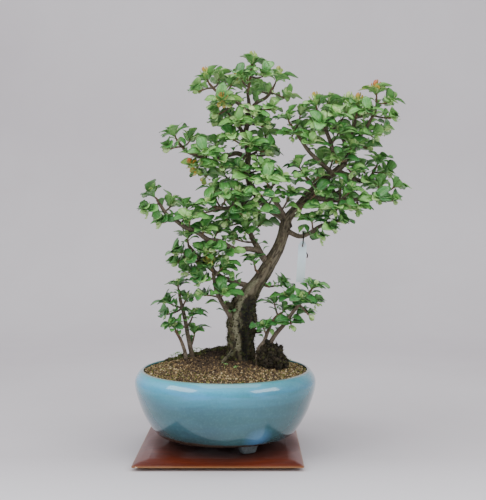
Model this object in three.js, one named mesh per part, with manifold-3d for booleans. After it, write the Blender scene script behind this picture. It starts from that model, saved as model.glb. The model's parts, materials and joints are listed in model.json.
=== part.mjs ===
// Quince bonsai in a glazed bowl on a square display board.
// Millimetres, +Z up. X runs to the right, Y away from the front.
// The origin is the centre of the board's underside.
import * as THREE from 'three';
import { mergeVertices } from 'three/addons/utils/BufferGeometryUtils.js';
import Module from 'manifold-3d';

const wasm = await Module();
wasm.setup();

// Driving dimensions
const GAP = 0.3;                 // air between pieces that touch on the real thing
const BOARD_SIDE = 200;
const BOARD_TOP = 10;
const BOARD_FOOT_INSET = 8;      // how far the underside is set back from the edge
const POT_CENTRE = new THREE.Vector2(6, 0);
const POT_BASE = 23;             // height of the bowl's flat base
const POT_FLOOR = 30;            // and of its floor inside
const RIM_TOP = 102.4;
const SOIL_TOUCH = 88;           // the soil meets the wall up to here
const DRAIN_RADIUS = 12;
const ROUND = 32;                // facets round the bowl and the soil
const FOOT_COUNT = 3;
const FOOT_AZIMUTH = -64.5;      // the foot that faces the front
const FOOT_WIDTH = 26;
const FOOT_OUTER = 75;
const FOOT_DEPTH = 15;
const SOIL_RADIUS = 103;
const SOIL_EDGE = 99.6;          // height of the soil where it meets the rim
const SOIL_DIP = 0.9;            // how much lower it lies behind
const MOUND = 13;                // rise of the soil from the rim to the middle
const GRAIN = 1;
const LEAF_THICK = 0.8;          // blade at its rib
const LEAF_SLIM = 0.6;           // a blade's width for its length
const LEAF_FOLD = 0.3;           // rise of the margins for half the width
const LEAF_WAVE = 0.045;         // height of the margin's waves for the length
const LEAF_LEAN = 1.15;          // radians between a leaf and its spur
const TOP_LEAN = 0.15;           // and for the leaf at the spur's top
const TRIES = 10;                // places tried for a leaf before it is left out
const SQUARE = 1.15;             // corners of a square stem stand out this much from its round
const SPUR_END = 1.1;            // radius of a spur's end
const SPUR_SEAT = 1.2;           // half the width of a spur's foot
const BUD = 1.8;                 // length of the spur's end that the leaves grow from
const TAG_WIDTH = 10.5;
const TAG_LENGTH = 52;
const TAG_THICK = 0.8;
const TAG_SHOULDER = 5;          // length of the strip's tapered top
const TAG_NECK = 4.4;            // its width at the very top
const TAG_LEAN = -0.063;
const HOLE_DROP = 6;
const HOLE_RADIUS = 1.7;
const WIRE_RADIUS = 0.7;

// The bowl's section, radius and height: up the outside, then down the inside
const BOWL_OUTSIDE = [[84, POT_BASE], [90, 27.5], [99.5, 41.5], [109.5, 64], [114.4, 84], [111, 96],
  [105.6, RIM_TOP]];
const BOWL_LIP = [103.4, 101];
const BOWL_INSIDE = [[107.5, SOIL_TOUCH], [103.5, 65], [93.5, 44], [80, POT_FLOOR]];

// Rises of the soil besides the mound: x, y, height and spread
const SOIL_RISES = [[8, 28, 11, 26], [-34, -6, 5, 18]];

// Wood: each point is x, y, z and the radius there. The first points lie in the soil.
const TRUNK = [[25, 0, 66, 9], [25, 0, 92, 15], [25, 0, 112, 17.5], [25, 0, 131, 16.5],
  [26, 0, 148, 17], [27, 0, 163, 18.5], [29, 0, 181, 16.5], [35, 0, 194, 12.5], [45, -1, 208, 9.4],
  [54, -2, 221, 8.8], [63, -2, 237, 8.4], [72, -1, 252, 7.4], [78, 0, 268, 7], [82, 0, 283, 7.2],
  [84, 0, 294, 6.2]];
const RIGHT_LIMB = [[80, 0, 280, 6.2], [84, -1, 291, 6.2], [91, -3, 300, 5.6], [99, -5, 309, 5.2],
  [113, -6, 324, 5.2], [132, -4, 342, 4.7], [148, 0, 354, 4.2], [157, 3, 363, 3.8],
  [166, 6, 380, 3.3], [168, 6, 396, 2.9], [170, 4, 410, 2.4], [172, 2, 419, 1.9]];
const LEFT_LIMB = [[86, 1, 280, 5.8], [83, 2, 289, 5.8], [76, 3, 296, 5.2], [65, 4, 303, 4.9],
  [56, 5, 311, 4.7], [45, 6, 324, 4.4], [37, 6, 338, 4.2], [34, 4, 354, 4], [35, 2, 377, 3.7],
  [32, 0, 401, 3.4], [35, 0, 418, 3], [36, -1, 437, 2.4], [34, -2, 452, 1.8]];
const SURFACE_ROOT = [[20, -8, 128, 4.5], [13, -17, 122, 3.4], [5, -23, 115, 2.8], [-3, -28, 105, 2]];
const STUB = [[36, -4, 147, 4], [52, -7, 150, 2.4]];
const SHOULDER = [[26, -2, 168, 13], [13, -3, 180, 4]];

// Leafy stems: the path of the wood, the tips of its short spurs with the number of leaves
// on each, and the usual length of a leaf there. The first spur carries the path on.
const STEMS = {
  upright_left_branch: { leaf: 21,
    path: [[60, -3, 236, 4.2], [52, -4, 246, 3.8], [46, 2, 257, 3.3], [40, 8, 268, 3],
      [35, 14, 280, 2.6], [28, 18, 293, 2.2]],
    tips: [[24, 20, 301, 4], [32, -4, 276, 4], [12, 22, 283, 3], [50, 24, 284, 3],
      [19, 0, 266, 3]] },
  long_left_branch: { leaf: 20,
    path: [[51, -4, 250, 3.2], [37, -10, 254, 3], [21, -14, 253, 2.9], [11, -17, 257, 2.8],
      [-1, -20, 264, 2.8], [-15, -22, 266, 2.7], [-31, -22, 277, 2.6], [-43, -20, 281, 2.5],
      [-56, -17, 290, 2.4], [-66, -15, 296, 2.2], [-74, -12, 307, 1.9], [-80, -9, 316, 1.5]],
    tips: [[-85, -8, 321, 4], [-90, -12, 302, 4], [-72, -20, 287, 3], [-62, -2, 309, 3],
      [-42, -12, 306, 4], [-37, -32, 290, 3], [-20, -30, 276, 3], [-3, -8, 276, 3],
      [-5, -27, 254, 2], [11, -18, 247, 2]] },
  lower_left_branch: { leaf: 20,
    path: [[42, 0, 205, 3.6], [28, -2, 209, 3.1], [14, -6, 213, 2.8], [1, -10, 219, 2.5],
      [-14, -13, 231, 2.3], [-29, -14, 245, 2], [-40, -12, 258, 1.7]],
    tips: [[-41, -12, 269, 4], [-50, -16, 249, 4], [-54, -4, 236, 3], [-34, -23, 238, 3],
      [-40, -10, 224, 3], [-18, -22, 247, 3], [-10, -2, 238, 3]] },
  trunk_sucker: { leaf: 22,
    path: [[20, -8, 159, 3], [11, -12, 172, 2.6], [3, -15, 186, 2.3], [-4, -17, 200, 2.1],
      [-7, -18, 213, 1.8], [-9, -18, 224, 1.4]],
    tips: [[-12, -20, 231, 4], [4, -24, 232, 3], [-22, -22, 214, 3], [-20, -17, 196, 2],
      [4, -24, 197, 3]] },
  tag_branch: { leaf: 19,
    path: [[84, -2, 277, 3], [99, -10, 270, 2.6], [110, -14, 273, 2.3], [122, -17, 281, 2],
      [135, -18, 287, 1.6]],
    tips: [[150, -20, 288, 3], [138, -19, 279, 4], [125, -16, 268, 4], [114, -24, 289, 3],
      [138, -8, 298, 3]] },
  mid_left_branch: { leaf: 20,
    path: [[35, 3, 367, 2.9], [22, -4, 375, 2.6], [7, -10, 371, 2.4], [-9, -14, 365, 2.1],
      [-26, -14, 370, 1.9], [-42, -11, 377, 1.7], [-54, -8, 389, 1.4]],
    tips: [[-58, -6, 398, 5], [-62, -14, 380, 4], [-39, 2, 393, 4], [-29, -23, 355, 3],
      [-18, -30, 370, 4], [-6, -2, 387, 3], [2, -26, 355, 3], [-20, 2, 346, 3]] },
  crown_left_branch: { leaf: 19,
    path: [[35, -1, 425, 2.6], [25, -8, 436, 2.3], [11, -12, 444, 2], [-4, -12, 452, 1.7],
      [-14, -10, 462, 1.4]],
    tips: [[-17, -10, 468, 4], [-27, -16, 451, 3], [3, -28, 436, 4], [14, -8, 461, 4],
      [-2, -10, 424, 3], [-3, 8, 471, 3]] },
  crown_right_branch: { leaf: 19,
    path: [[36, 0, 429, 2.4], [46, 8, 441, 2.1], [59, 12, 449, 1.8], [67, 12, 461, 1.5]],
    tips: [[72, 12, 473, 4], [81, 8, 447, 3], [63, -6, 430, 4], [53, 28, 458, 3]] },
  crown_back_branch: { leaf: 20,
    path: [[32, 1, 393, 2.6], [24, 16, 410, 2.2], [14, 26, 424, 1.8], [6, 30, 435, 1.4]],
    tips: [[2, 34, 444, 4], [20, 42, 419, 3], [-2, 18, 416, 3]] },
  centre_back_branch: { leaf: 21,
    path: [[45, 6, 325, 2.8], [32, 22, 330, 2.4], [19, 34, 335, 2], [8, 40, 346, 1.6]],
    tips: [[2, 44, 354, 3], [19, 22, 356, 3], [12, 48, 322, 3], [34, 40, 309, 3]] },
  centre_left_branch: { leaf: 21,
    path: [[54, 5, 312, 3.2], [37, -6, 312, 2.8], [22, -16, 308, 2.4], [7, -24, 305, 2.1],
      [-5, -28, 306, 1.7]],
    tips: [[-11, -32, 310, 4], [-22, -20, 299, 4], [8, -40, 317, 4], [22, -30, 322, 3],
      [8, -20, 290, 3], [27, -34, 297, 3], [-8, -12, 328, 3]] },
  centre_front_branch: { leaf: 22,
    path: [[82, -2, 294, 3], [70, -16, 312, 2.6], [62, -26, 324, 2.2], [59, -30, 332, 1.8]],
    tips: [[58, -38, 336, 5], [76, -24, 340, 4], [50, -44, 320, 3], [87, -22, 322, 3],
      [48, -30, 300, 4]] },
  right_back_branch: { leaf: 21,
    path: [[123, -5, 332, 3], [130, 14, 335, 2.6], [142, 32, 330, 2.2], [157, 44, 323, 1.8]],
    tips: [[163, 50, 318, 3], [146, 42, 345, 3], [129, 36, 317, 3], [169, 34, 338, 2]] },
  right_low_branch: { leaf: 20,
    path: [[109, -6, 320, 3.4], [125, -14, 317, 2.8], [140, -20, 315, 2.5], [158, -22, 315, 2.2],
      [182, -20, 317, 1.9], [199, -16, 321, 1.6], [209, -14, 327, 1.3]],
    tips: [[219, -14, 332, 3], [216, -17, 314, 2], [199, -8, 332, 3], [195, -25, 314, 3],
      [171, -26, 303, 4], [161, -32, 326, 4], [144, -32, 302, 4], [126, -28, 303, 4],
      [150, -20, 331, 4]] },
  right_up_branch: { leaf: 20,
    path: [[149, 0, 353, 2.8], [168, 10, 345, 2.4], [184, 14, 341, 2.1], [193, 14, 347, 1.8],
      [199, 12, 358, 1.4]],
    tips: [[202, 12, 366, 4], [212, 14, 350, 4], [183, 22, 357, 3], [187, 2, 336, 3]] },
  crown_far_left_branch: { leaf: 19,
    path: [[143, -2, 349, 2.8], [127, -10, 362, 2.5], [111, -14, 377, 2.1], [98, -14, 396, 1.7],
      [88, -12, 411, 1.4]],
    tips: [[85, -12, 418, 4], [90, -18, 395, 3], [101, -6, 426, 4], [112, -30, 384, 4],
      [106, 6, 408, 3]] },
  crown_mid_branch: { leaf: 21,
    path: [[156, 3, 362, 3], [143, -8, 376, 2.6], [136, -16, 394, 2.2], [127, -20, 413, 1.8],
      [122, -20, 425, 1.5]],
    tips: [[120, -20, 433, 5], [137, -10, 438, 4], [124, -34, 404, 4], [142, -30, 418, 4],
      [148, -24, 399, 3]] },
  crown_far_right_branch: { leaf: 20,
    path: [[167, 6, 384, 2.6], [178, 2, 398, 2.3], [189, -4, 415, 1.9], [197, -6, 432, 1.5],
      [197, -6, 444, 1.2]],
    tips: [[197, -6, 451, 4], [210, -8, 438, 4], [215, -10, 419, 4], [209, 6, 406, 3],
      [183, -20, 424, 4], [192, -6, 396, 3]] },
  crown_rear_branch: { leaf: 21,
    path: [[160, 4, 367, 2.8], [161, 20, 387, 2.4], [156, 34, 406, 2], [149, 42, 423, 1.6]],
    tips: [[148, 47, 433, 3], [165, 34, 442, 3], [174, 40, 410, 3], [137, 46, 408, 3]] },
  left_limb_top_spray: { leaf: 20,
    path: [[34, -2, 452.6, 1.6], [37, -3, 466, 1.4], [39, -4, 480, 1.1]],
    tips: [[40, -4, 488, 5], [53, -18, 470, 5], [26, -20, 468, 4], [34, 16, 472, 4]] },
  left_limb_high_spray: { leaf: 20,
    path: [[34, -1, 411, 1.9], [34, -14, 413, 1.6]],
    tips: [[41, -27, 419, 3], [24, -26, 408, 2], [54, -14, 408, 3]] },
  left_limb_mid_spray: { leaf: 21,
    path: [[34, 2, 384, 1.9], [32, -14, 386, 1.6]],
    tips: [[37, -29, 382, 3], [16, -24, 391, 3], [55, -14, 376, 2]] },
  left_limb_rear_spray: { leaf: 21,
    path: [[35, 3, 371, 1.9], [45, 18, 378, 1.6]],
    tips: [[45, 34, 384, 3], [61, 20, 376, 2], [58, 24, 401, 2]] },
  left_limb_low_spray: { leaf: 21,
    path: [[35, 5, 350, 1.9], [38, -12, 350, 1.6]],
    tips: [[26, -22, 350, 3], [52, -24, 353, 3], [40, -28, 340, 2]] },
  right_limb_low_spray: { leaf: 20,
    path: [[99, -5, 309, 1.9], [106, -20, 311, 1.6]],
    tips: [[100, -26, 303, 2], [118, -30, 322, 2]] },
  right_limb_left_spray: { leaf: 19,
    path: [[119, -6, 330, 1.9], [110, -14, 342, 1.6]],
    tips: [[98, -15, 358, 2], [106, -22, 344, 2], [124, -14, 345, 1]] },
  right_limb_front_spray: { leaf: 21,
    path: [[157, 3, 364, 1.9], [158, -14, 366, 1.6]],
    tips: [[150, -24, 363, 3], [163, -20, 350, 2], [164, -18, 381, 3]] },
  right_limb_rear_spray: { leaf: 21,
    path: [[140, -2, 348, 1.9], [136, 14, 356, 1.6]],
    tips: [[130, 22, 364, 3], [146, 30, 370, 3]] },
  right_limb_side_spray: { leaf: 20,
    path: [[167, 6, 390, 1.9], [177, 20, 390, 1.6]],
    tips: [[174, 28, 380, 3], [189, 22, 384, 2]] },
  right_limb_top_spray: { leaf: 20,
    path: [[172, 2, 419.6, 1.6], [173, 1, 426, 1.3]],
    tips: [[174, -4, 435, 4], [182, 16, 424, 3], [160, 8, 428, 2]] },
  trunk_left_spray: { leaf: 15,
    path: [[52, -3, 219, 1.6], [44, -10, 228, 1.4]],
    tips: [[41, -12, 240, 4]] },
  trunk_right_spray: { leaf: 18,
    path: [[48, -1, 211, 1.8], [62, -5, 206, 1.5]],
    tips: [[78, -7, 208, 4]] },
  left_sucker: { leaf: 17,
    path: [[-34, -6, 84, 2.8], [-35, -6, 104, 2.8], [-36, -6, 118, 2.4], [-41, -5, 142, 2.1],
      [-46, -4, 169, 1.8], [-51, -4, 189, 1.5], [-53, -4, 202, 1.2]],
    tips: [[-54, -4, 208, 4], [-66, -8, 186, 3], [-43, -2, 190, 2], [-68, -6, 171, 3],
      [-35, -10, 173, 2], [-60, -17, 158, 3], [-33, -4, 149, 2]] },
  left_sucker_twin: { leaf: 15,
    path: [[-42, -10, 96, 1.9], [-44, -11, 121, 1.8], [-49, -14, 138, 1.5], [-55, -17, 150, 1.2]],
    tips: [[-57, -19, 156, 3]] },
  right_sucker: { leaf: 19,
    path: [[54, -19, 90, 2.6], [56, -19, 112, 2.6], [58, -20, 126, 2.4], [67, -22, 145, 2.1],
      [80, -24, 161, 1.9], [92, -25, 178, 1.7], [105, -25, 193, 1.4], [113, -25, 203, 1.2]],
    tips: [[116, -25, 207, 4], [118, -28, 187, 3], [110, -20, 172, 2], [88, -28, 161, 2],
      [86, -22, 194, 3], [100, -32, 192, 2]] },
  right_sucker_short: { leaf: 17,
    path: [[44, -27, 88, 2.2], [46, -26, 112, 2.2], [48, -26, 130, 2], [55, -24, 140, 1.8],
      [61, -20, 155, 1.5], [68, -16, 167, 1.3], [77, -14, 174, 1.1]],
    tips: [[80, -12, 178, 3], [68, -8, 186, 3], [54, -28, 158, 2]] },
};

const CLUMP_CENTRE = new THREE.Vector3(62, -20, 112);
const CLUMP_SIZE = new THREE.Vector3(21, 19, 24);

const BARK = new THREE.MeshStandardMaterial({ color: 0x55493d, roughness: 0.9, metalness: 0 });
const LEAF = new THREE.MeshStandardMaterial({ color: 0x3c783c, roughness: 0.5, metalness: 0 });
const GLAZE = new THREE.MeshStandardMaterial({ color: 0x69aab9, roughness: 0.2, metalness: 0 });
const VARNISH = new THREE.MeshStandardMaterial({ color: 0x783c2d, roughness: 0.25, metalness: 0 });
const SOIL = new THREE.MeshStandardMaterial({ color: 0x5f4b32, roughness: 1, metalness: 0 });
const MOSS = new THREE.MeshStandardMaterial({ color: 0x2b2a1c, roughness: 1, metalness: 0 });
const PLASTIC = new THREE.MeshStandardMaterial({ color: 0xc8d4dc, roughness: 0.4, metalness: 0 });
const WIRE = new THREE.MeshStandardMaterial({ color: 0x2a2624, roughness: 0.5, metalness: 0.6 });

const bonsai = new THREE.Group();

function add(name, geometry, material) {
  const mesh = new THREE.Mesh(geometry, material);
  mesh.name = name;
  bonsai.add(mesh);
}

// Seeded draws between 0 and 1
function dice(seed) {
  let state = seed;
  const roll = () => {
    state = (state * 1664525 + 1013904223) % 4294967296;
    return state / 4294967296;
  };
  for (let warm = 0; warm < 3; warm++) roll();
  return roll;
}

// Closed geometry to solid and back
function solid(geometry) {
  const bare = geometry.clone();
  bare.deleteAttribute('normal');
  bare.deleteAttribute('uv');
  const merged = mergeVertices(bare, 1e-4);
  return new wasm.Manifold(new wasm.Mesh({
    numProp: 3,
    vertProperties: new Float32Array(merged.attributes.position.array),
    triVerts: new Uint32Array(merged.index.array),
  }));
}

function geometryOf(body) {
  const mesh = body.getMesh();
  const geometry = new THREE.BufferGeometry();
  geometry.setAttribute('position', new THREE.BufferAttribute(mesh.vertProperties, 3));
  geometry.setIndex(new THREE.BufferAttribute(mesh.triVerts, 1));
  return geometry;
}

// The largest body, with loose scraps dropped
function largest(body) {
  return body.decompose().sort((a, b) => b.volume() - a.volume())[0];
}

const UP = new THREE.Vector3(0, 0, 1);
const DEPTH = new THREE.Vector3(0, 1, 0);
const SIDEWAYS = new THREE.Vector3(1, 0, 0);

// A place along a piece of wood: its centre, its directions and its radius
function place(wood, share) {
  const points = wood.map(([x, y, z]) => new THREE.Vector3(x, y, z));
  const curve = new THREE.CatmullRomCurve3(points, false, 'catmullrom', 0.5);
  const reach = Math.min(share, 0.9999) * (wood.length - 1);
  const below = Math.floor(reach);
  const radius = THREE.MathUtils.lerp(wood[below][3], wood[below + 1][3], reach - below);
  const centre = curve.getPoint(share);
  const before = curve.getPoint(Math.max(share - 0.01, 0));
  const after = curve.getPoint(Math.min(share + 0.01, 1));
  const along = after.sub(before).normalize();
  const guide = Math.abs(along.dot(DEPTH)) > 0.9 ? UP : DEPTH;
  const across = new THREE.Vector3().crossVectors(guide, along).normalize();
  const out = new THREE.Vector3().crossVectors(across, along);
  return { centre, along, across, out, radius };
}

// A tapered round stem: a cylinder bent along the wood's path, swollen by relief and margin
function stemGeometry(wood, sides, steps, margin = 0, relief = () => 0) {
  const geometry = new THREE.CylinderGeometry(1, 1, 1, sides, steps);
  const position = geometry.attributes.position;
  const spot = new THREE.Vector3();
  for (let i = 0; i < position.count; i++) {
    spot.fromBufferAttribute(position, i);
    const share = spot.y + 0.5;
    const ring = place(wood, share);
    const rim = Math.hypot(spot.x, spot.z);
    const turn = Math.atan2(spot.x, spot.z);
    const grown = rim < 0.5 ? 0 : ring.radius + margin + relief(turn, ring.centre.z);
    const point = ring.centre.clone()
      .addScaledVector(ring.across, grown * Math.sin(turn))
      .addScaledVector(ring.out, grown * Math.cos(turn));
    if (margin > 0 && share > 0.9999) point.addScaledVector(ring.along, margin);
    if (margin > 0 && share < 0.0001) point.addScaledVector(ring.along, -margin);
    position.setXYZ(i, point.x, point.y, point.z);
  }
  return geometry;
}

// Old bark: long ridges up the trunk and lumps on its swollen foot, none under the soil
function bark(turn, height) {
  const shown = THREE.MathUtils.smoothstep(height, 112, 128);
  const lumpy = 1 - THREE.MathUtils.smoothstep(height, 185, 215);
  const ridges = 0.9 * Math.sin(3 * turn + height / 31) + 0.6 * Math.sin(5 * turn - height / 17);
  const lumps = 1.1 * Math.sin(2 * turn + height / 7) * Math.sin(height / 5.3 + turn);
  return shown * (ridges * (0.3 + 0.7 * lumpy) + lumps * lumpy);
}

const WOOD = [[TRUNK, 12, 19, bark], [RIGHT_LIMB, 6, 12], [LEFT_LIMB, 6, 12], [SURFACE_ROOT, 5, 4],
  [STUB, 5, 1], [SHOULDER, 8, 2]];

function woodSolid(margin) {
  const grow = ([wood, sides, steps, relief]) => solid(stemGeometry(wood, sides, steps, margin, relief));
  return WOOD.map(grow).reduce((whole, stem) => whole.add(stem));
}

// A blade: rings of four points, left margin, upper rib, right margin and lower rib, and a
// tip. Both faces split alike, so the waved blade never crosses itself.
const RINGS = [{ at: 0.42, width: 0.8, wave: 1 }, { at: 0.79, width: 0.94, wave: -1 }];

function bladePoints({ root, along, side, face, length, arch }) {
  const points = [];
  for (const ring of RINGS) {
    const half = ring.width * LEAF_SLIM * length / 2;
    const rib = root.clone()
      .addScaledVector(along, ring.at * length)
      .addScaledVector(face, -arch * length * ring.at ** 2);
    const lift = LEAF_FOLD * half;
    const ripple = LEAF_WAVE * length * ring.wave;
    points.push(
      rib.clone().addScaledVector(side, half).addScaledVector(face, lift + ripple),
      rib.clone().addScaledVector(face, LEAF_THICK / 2),
      rib.clone().addScaledVector(side, -half).addScaledVector(face, lift - ripple),
      rib.clone().addScaledVector(face, -LEAF_THICK / 2));
  }
  points.push(root.clone().addScaledVector(along, length).addScaledVector(face, -arch * length));
  return points;
}

// A leafy stem is one closed skin of four-sided faces. The wood is a square tube, a spur is
// drawn out of a small square set in one of its faces, and each leaf out of a face at the
// spur's end: four round it and the youngest from its top.
const CORNERS = [0, 1, 2, 3];

function middleOf(points) {
  const sum = points.reduce((total, point) => total.add(point), new THREE.Vector3());
  return sum.divideScalar(points.length);
}

// The wood's rings of four, and its faces in rows from the root to the end
function woodFrame(path) {
  const steps = path.length - 1;
  const rings = path.map((_, i) => {
    const ring = place(path, i / steps);
    return CORNERS.map((j) => ring.centre.clone()
      .addScaledVector(ring.across, SQUARE * ring.radius * Math.sin(j * Math.PI / 2))
      .addScaledVector(ring.out, SQUARE * ring.radius * Math.cos(j * Math.PI / 2)));
  });
  const faces = [];
  for (let i = 0; i < steps; i++) {
    for (const j of CORNERS) {
      const next = (j + 1) % 4;
      const points = [rings[i][j], rings[i][next], rings[i + 1][next], rings[i + 1][j]];
      const middle = middleOf(points);
      const along = points[3].clone().add(points[2]).sub(points[0]).sub(points[1]).normalize();
      const across = points[1].clone().add(points[2]).sub(points[0]).sub(points[3]).normalize();
      const normal = new THREE.Vector3().crossVectors(across, along).normalize();
      const width = points[0].distanceTo(points[1]);
      faces.push({ row: i, corner: j, middle, along, across, normal, width });
    }
  }
  return { rings, faces };
}

// A spur's seat: the free face that looks at its tip, is near it and lets it lean forward
function seatSpur(faces, taken, tip) {
  const score = (face) => {
    const way = tip.clone().sub(face.middle);
    const far = way.length();
    return (way.dot(face.normal) + 0.3 * way.dot(face.along)) / far - far / 30;
  };
  const free = faces.filter((face) => !taken.has(face));
  return free.reduce((best, face) => (score(face) > score(best) ? face : best));
}

function spurFrame(foot, to) {
  const from = middleOf(foot);
  const axis = new THREE.Vector3().subVectors(to, from).normalize();
  const first = foot[0].clone().sub(from);
  first.addScaledVector(axis, -first.dot(axis)).normalize();
  const second = new THREE.Vector3().crossVectors(axis, first);
  const toward = (turn) => first.clone().multiplyScalar(Math.cos(turn))
    .addScaledVector(second, Math.sin(turn));
  const ringAt = (back) => CORNERS.map((j) => to.clone()
    .addScaledVector(axis, -back)
    .addScaledVector(toward(j * Math.PI / 2), SPUR_END));
  return { foot, neck: ringAt(BUD), end: ringAt(0), to, axis, toward };
}

// Every spur of a stem: the first carries the wood on to its tip
function seatSpurs(path, tips) {
  const { rings, faces } = woodFrame(path);
  const taken = new Set();
  const spurs = tips.map(([x, y, z], k) => {
    const tip = new THREE.Vector3(x, y, z);
    if (k === 0) return spurFrame(rings[rings.length - 1], tip);
    const face = seatSpur(faces, taken, tip);
    taken.add(face);
    const half = Math.min(SPUR_SEAT, 0.36 * face.width);
    const foot = [[-1, -1], [1, -1], [1, 1], [-1, 1]].map(([u, v]) => face.middle.clone()
      .addScaledVector(face.across, u * half)
      .addScaledVector(face.along, v * SPUR_SEAT));
    return { ...spurFrame(foot, tip), face };
  });
  return { rings, spurs };
}

function leafyStemGeometry({ rings, spurs }, leavesOf) {
  const points = [];
  const triangles = [];
  const put = (ring) => ring.map((point) => points.push(point) - 1);
  const close = ([a, b, c, d]) => triangles.push([a, b, c], [a, c, d]);
  const join = (ring, next) => CORNERS.map((j) => [ring[j], ring[(j + 1) % 4], next[(j + 1) % 4], next[j]]);

  const growLeaf = (bud, leaf) => {
    // The stalk starts on the bud's face, turned so that it twists least
    const reach = bud.map((index) => points[index].dot(leaf.side));
    const shift = reach.indexOf(Math.max(...reach));
    let ring = CORNERS.map((corner) => bud[(corner + shift) % 4]);
    for (let i = 0; i < RINGS.length; i++) {
      const next = put(leaf.points.slice(4 * i, 4 * i + 4));
      const [l, t, r, b] = ring;
      const [l2, t2, r2, b2] = next;
      triangles.push([l, t, t2], [l, t2, l2], [l, b2, b], [l, l2, b2]);
      triangles.push([r, t2, t], [r, r2, t2], [r, b, b2], [r, b2, r2]);
      ring = next;
    }
    const [tip] = put([leaf.points[leaf.points.length - 1]]);
    const [l, t, r, b] = ring;
    triangles.push([l, t, tip], [l, tip, b], [r, tip, t], [r, b, tip]);
  };

  const growSpur = (foot, spur, leaves) => {
    const neck = put(spur.neck);
    const end = put(spur.end);
    join(foot, neck).forEach(close);
    [...join(neck, end), end].forEach((bud, j) => {
      const leaf = leaves.find((grown) => grown.bud === j);
      if (leaf) growLeaf(bud, leaf);
      else close(bud);
    });
  };

  const placed = rings.map(put);
  close([...placed[0]].reverse());
  for (let i = 0; i < rings.length - 1; i++) {
    join(placed[i], placed[i + 1]).forEach((quad, j) => {
      const k = spurs.findIndex(({ face }) => face && face.row === i && face.corner === j);
      if (k < 0) {
        close(quad);
        return;
      }
      const foot = put(spurs[k].foot);
      join(quad, foot).forEach(close);
      growSpur(foot, spurs[k], leavesOf[k]);
    });
  }
  growSpur(placed[placed.length - 1], spurs[0], leavesOf[0]);
  const geometry = new THREE.BufferGeometry().setFromPoints(points);
  geometry.setIndex(triangles.flat());
  return geometry;
}

// A convex hull, held as its points, the directions worth testing, its middle and reach
function hull(points, directions) {
  const middle = middleOf(points);
  const reach = Math.max(...points.map((point) => point.distanceTo(middle)));
  return { points, directions, middle, reach };
}

// Two hulls are clear where a plane parts them with the gap to spare
function clear(a, b, gap) {
  const between = new THREE.Vector3().subVectors(b.middle, a.middle);
  if (between.length() > a.reach + b.reach + gap) return true;
  const tests = [...a.directions, ...b.directions, between.normalize()];
  for (const u of a.directions) {
    for (const v of b.directions) {
      const cross = new THREE.Vector3().crossVectors(u, v);
      if (cross.lengthSq() > 0.01) tests.push(cross.normalize());
    }
  }
  return tests.some((direction) => {
    const spanA = a.points.map((point) => point.dot(direction));
    const spanB = b.points.map((point) => point.dot(direction));
    return Math.min(...spanB) - Math.max(...spanA) > gap || Math.min(...spanA) - Math.max(...spanB) > gap;
  });
}

// A box held in the same way
function boxHull(low, high) {
  const corners = [];
  for (const x of [low[0], high[0]]) {
    for (const y of [low[1], high[1]]) {
      for (const z of [low[2], high[2]]) corners.push(new THREE.Vector3(x, y, z));
    }
  }
  return hull(corners, [SIDEWAYS, DEPTH, UP]);
}

// The hulls of a stem, one for each stretch between two rings
function stemHulls(wood, sides, steps, swell = 0) {
  const rings = [];
  for (let step = 0; step <= steps; step++) {
    const ring = place(wood, step / steps);
    const points = [];
    for (let corner = 0; corner < sides; corner++) {
      const turn = 2 * Math.PI * corner / sides;
      points.push(ring.centre.clone()
        .addScaledVector(ring.across, (ring.radius + swell) * Math.sin(turn))
        .addScaledVector(ring.out, (ring.radius + swell) * Math.cos(turn)));
    }
    rings.push({ ...ring, points });
  }
  return rings.slice(1).map((ring, i) => {
    const directions = [ring.along, ring.across, ring.out];
    return hull([...rings[i].points, ...ring.points], directions);
  });
}

// The leaves of one spur, the youngest last. A leaf that would cross another leaf or stem
// is turned and shortened, and left out after the last try.
function growLeaves({ to, axis, toward }, count, usual, roll, others) {
  const leaves = [];
  for (let bud = 0; bud < count; bud++) {
    const top = bud === 4;
    let length = usual * (top ? 0.75 : 1.28 - 0.1 * bud) * (0.9 + 0.2 * roll());
    for (let attempt = 0; attempt < TRIES; attempt++) {
      const turn = (2 * bud + 1) * Math.PI / 4 + (0.9 + 0.05 * attempt) * (roll() - 0.5);
      const lean = (top ? TOP_LEAN : LEAF_LEAN) + 0.5 * (roll() - 0.5);
      const along = axis.clone().multiplyScalar(Math.cos(lean));
      along.addScaledVector(toward(turn), Math.sin(lean));
      along.z += 0.2;
      along.normalize();
      const face = top ? toward(turn) : axis.clone().multiplyScalar(0.7).addScaledVector(UP, 0.8);
      face.addScaledVector(along, -face.dot(along)).normalize();
      const side = new THREE.Vector3().crossVectors(face, along);
      const root = to.clone();
      if (!top) root.addScaledVector(axis, -BUD / 2).addScaledVector(toward(turn), SPUR_END / 2);
      const leaf = { bud, root, along, side, face, length, arch: 0.1 + 0.16 * roll() };
      leaf.points = bladePoints(leaf);
      const stalk = root.clone().addScaledVector(along, 0.15 * length);
      leaf.blade = hull([...leaf.points, stalk], [along, side, face]);
      leaf.whole = hull([...leaf.points, root], [along, side, face]);
      const apart = leaves.every((other) => clear(leaf.blade, other.blade, GAP));
      if (apart && others.every((other) => clear(leaf.whole, other, 2 * GAP))) {
        leaves.push(leaf);
        break;
      }
      length *= 0.95;
    }
  }
  return leaves;
}

// Height of the soil, a mound that is highest behind and to the left of the trunk
function soilHeight(x, y) {
  const [dx, dy] = [x - POT_CENTRE.x, y - POT_CENTRE.y];
  const out = Math.hypot(dx, dy) / SOIL_RADIUS;
  const dome = MOUND * Math.max(1 - out * out, 0);
  const rises = SOIL_RISES.map(([cx, cy, height, spread]) => height
    * Math.exp(-((x - cx) ** 2 + (y - cy) ** 2) / (2 * spread * spread)));
  const base = SOIL_EDGE - SOIL_DIP * dy / SOIL_RADIUS;
  return base + dome + (rises[0] + rises[1]) * Math.min(2 - 2 * out, 1);
}

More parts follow.
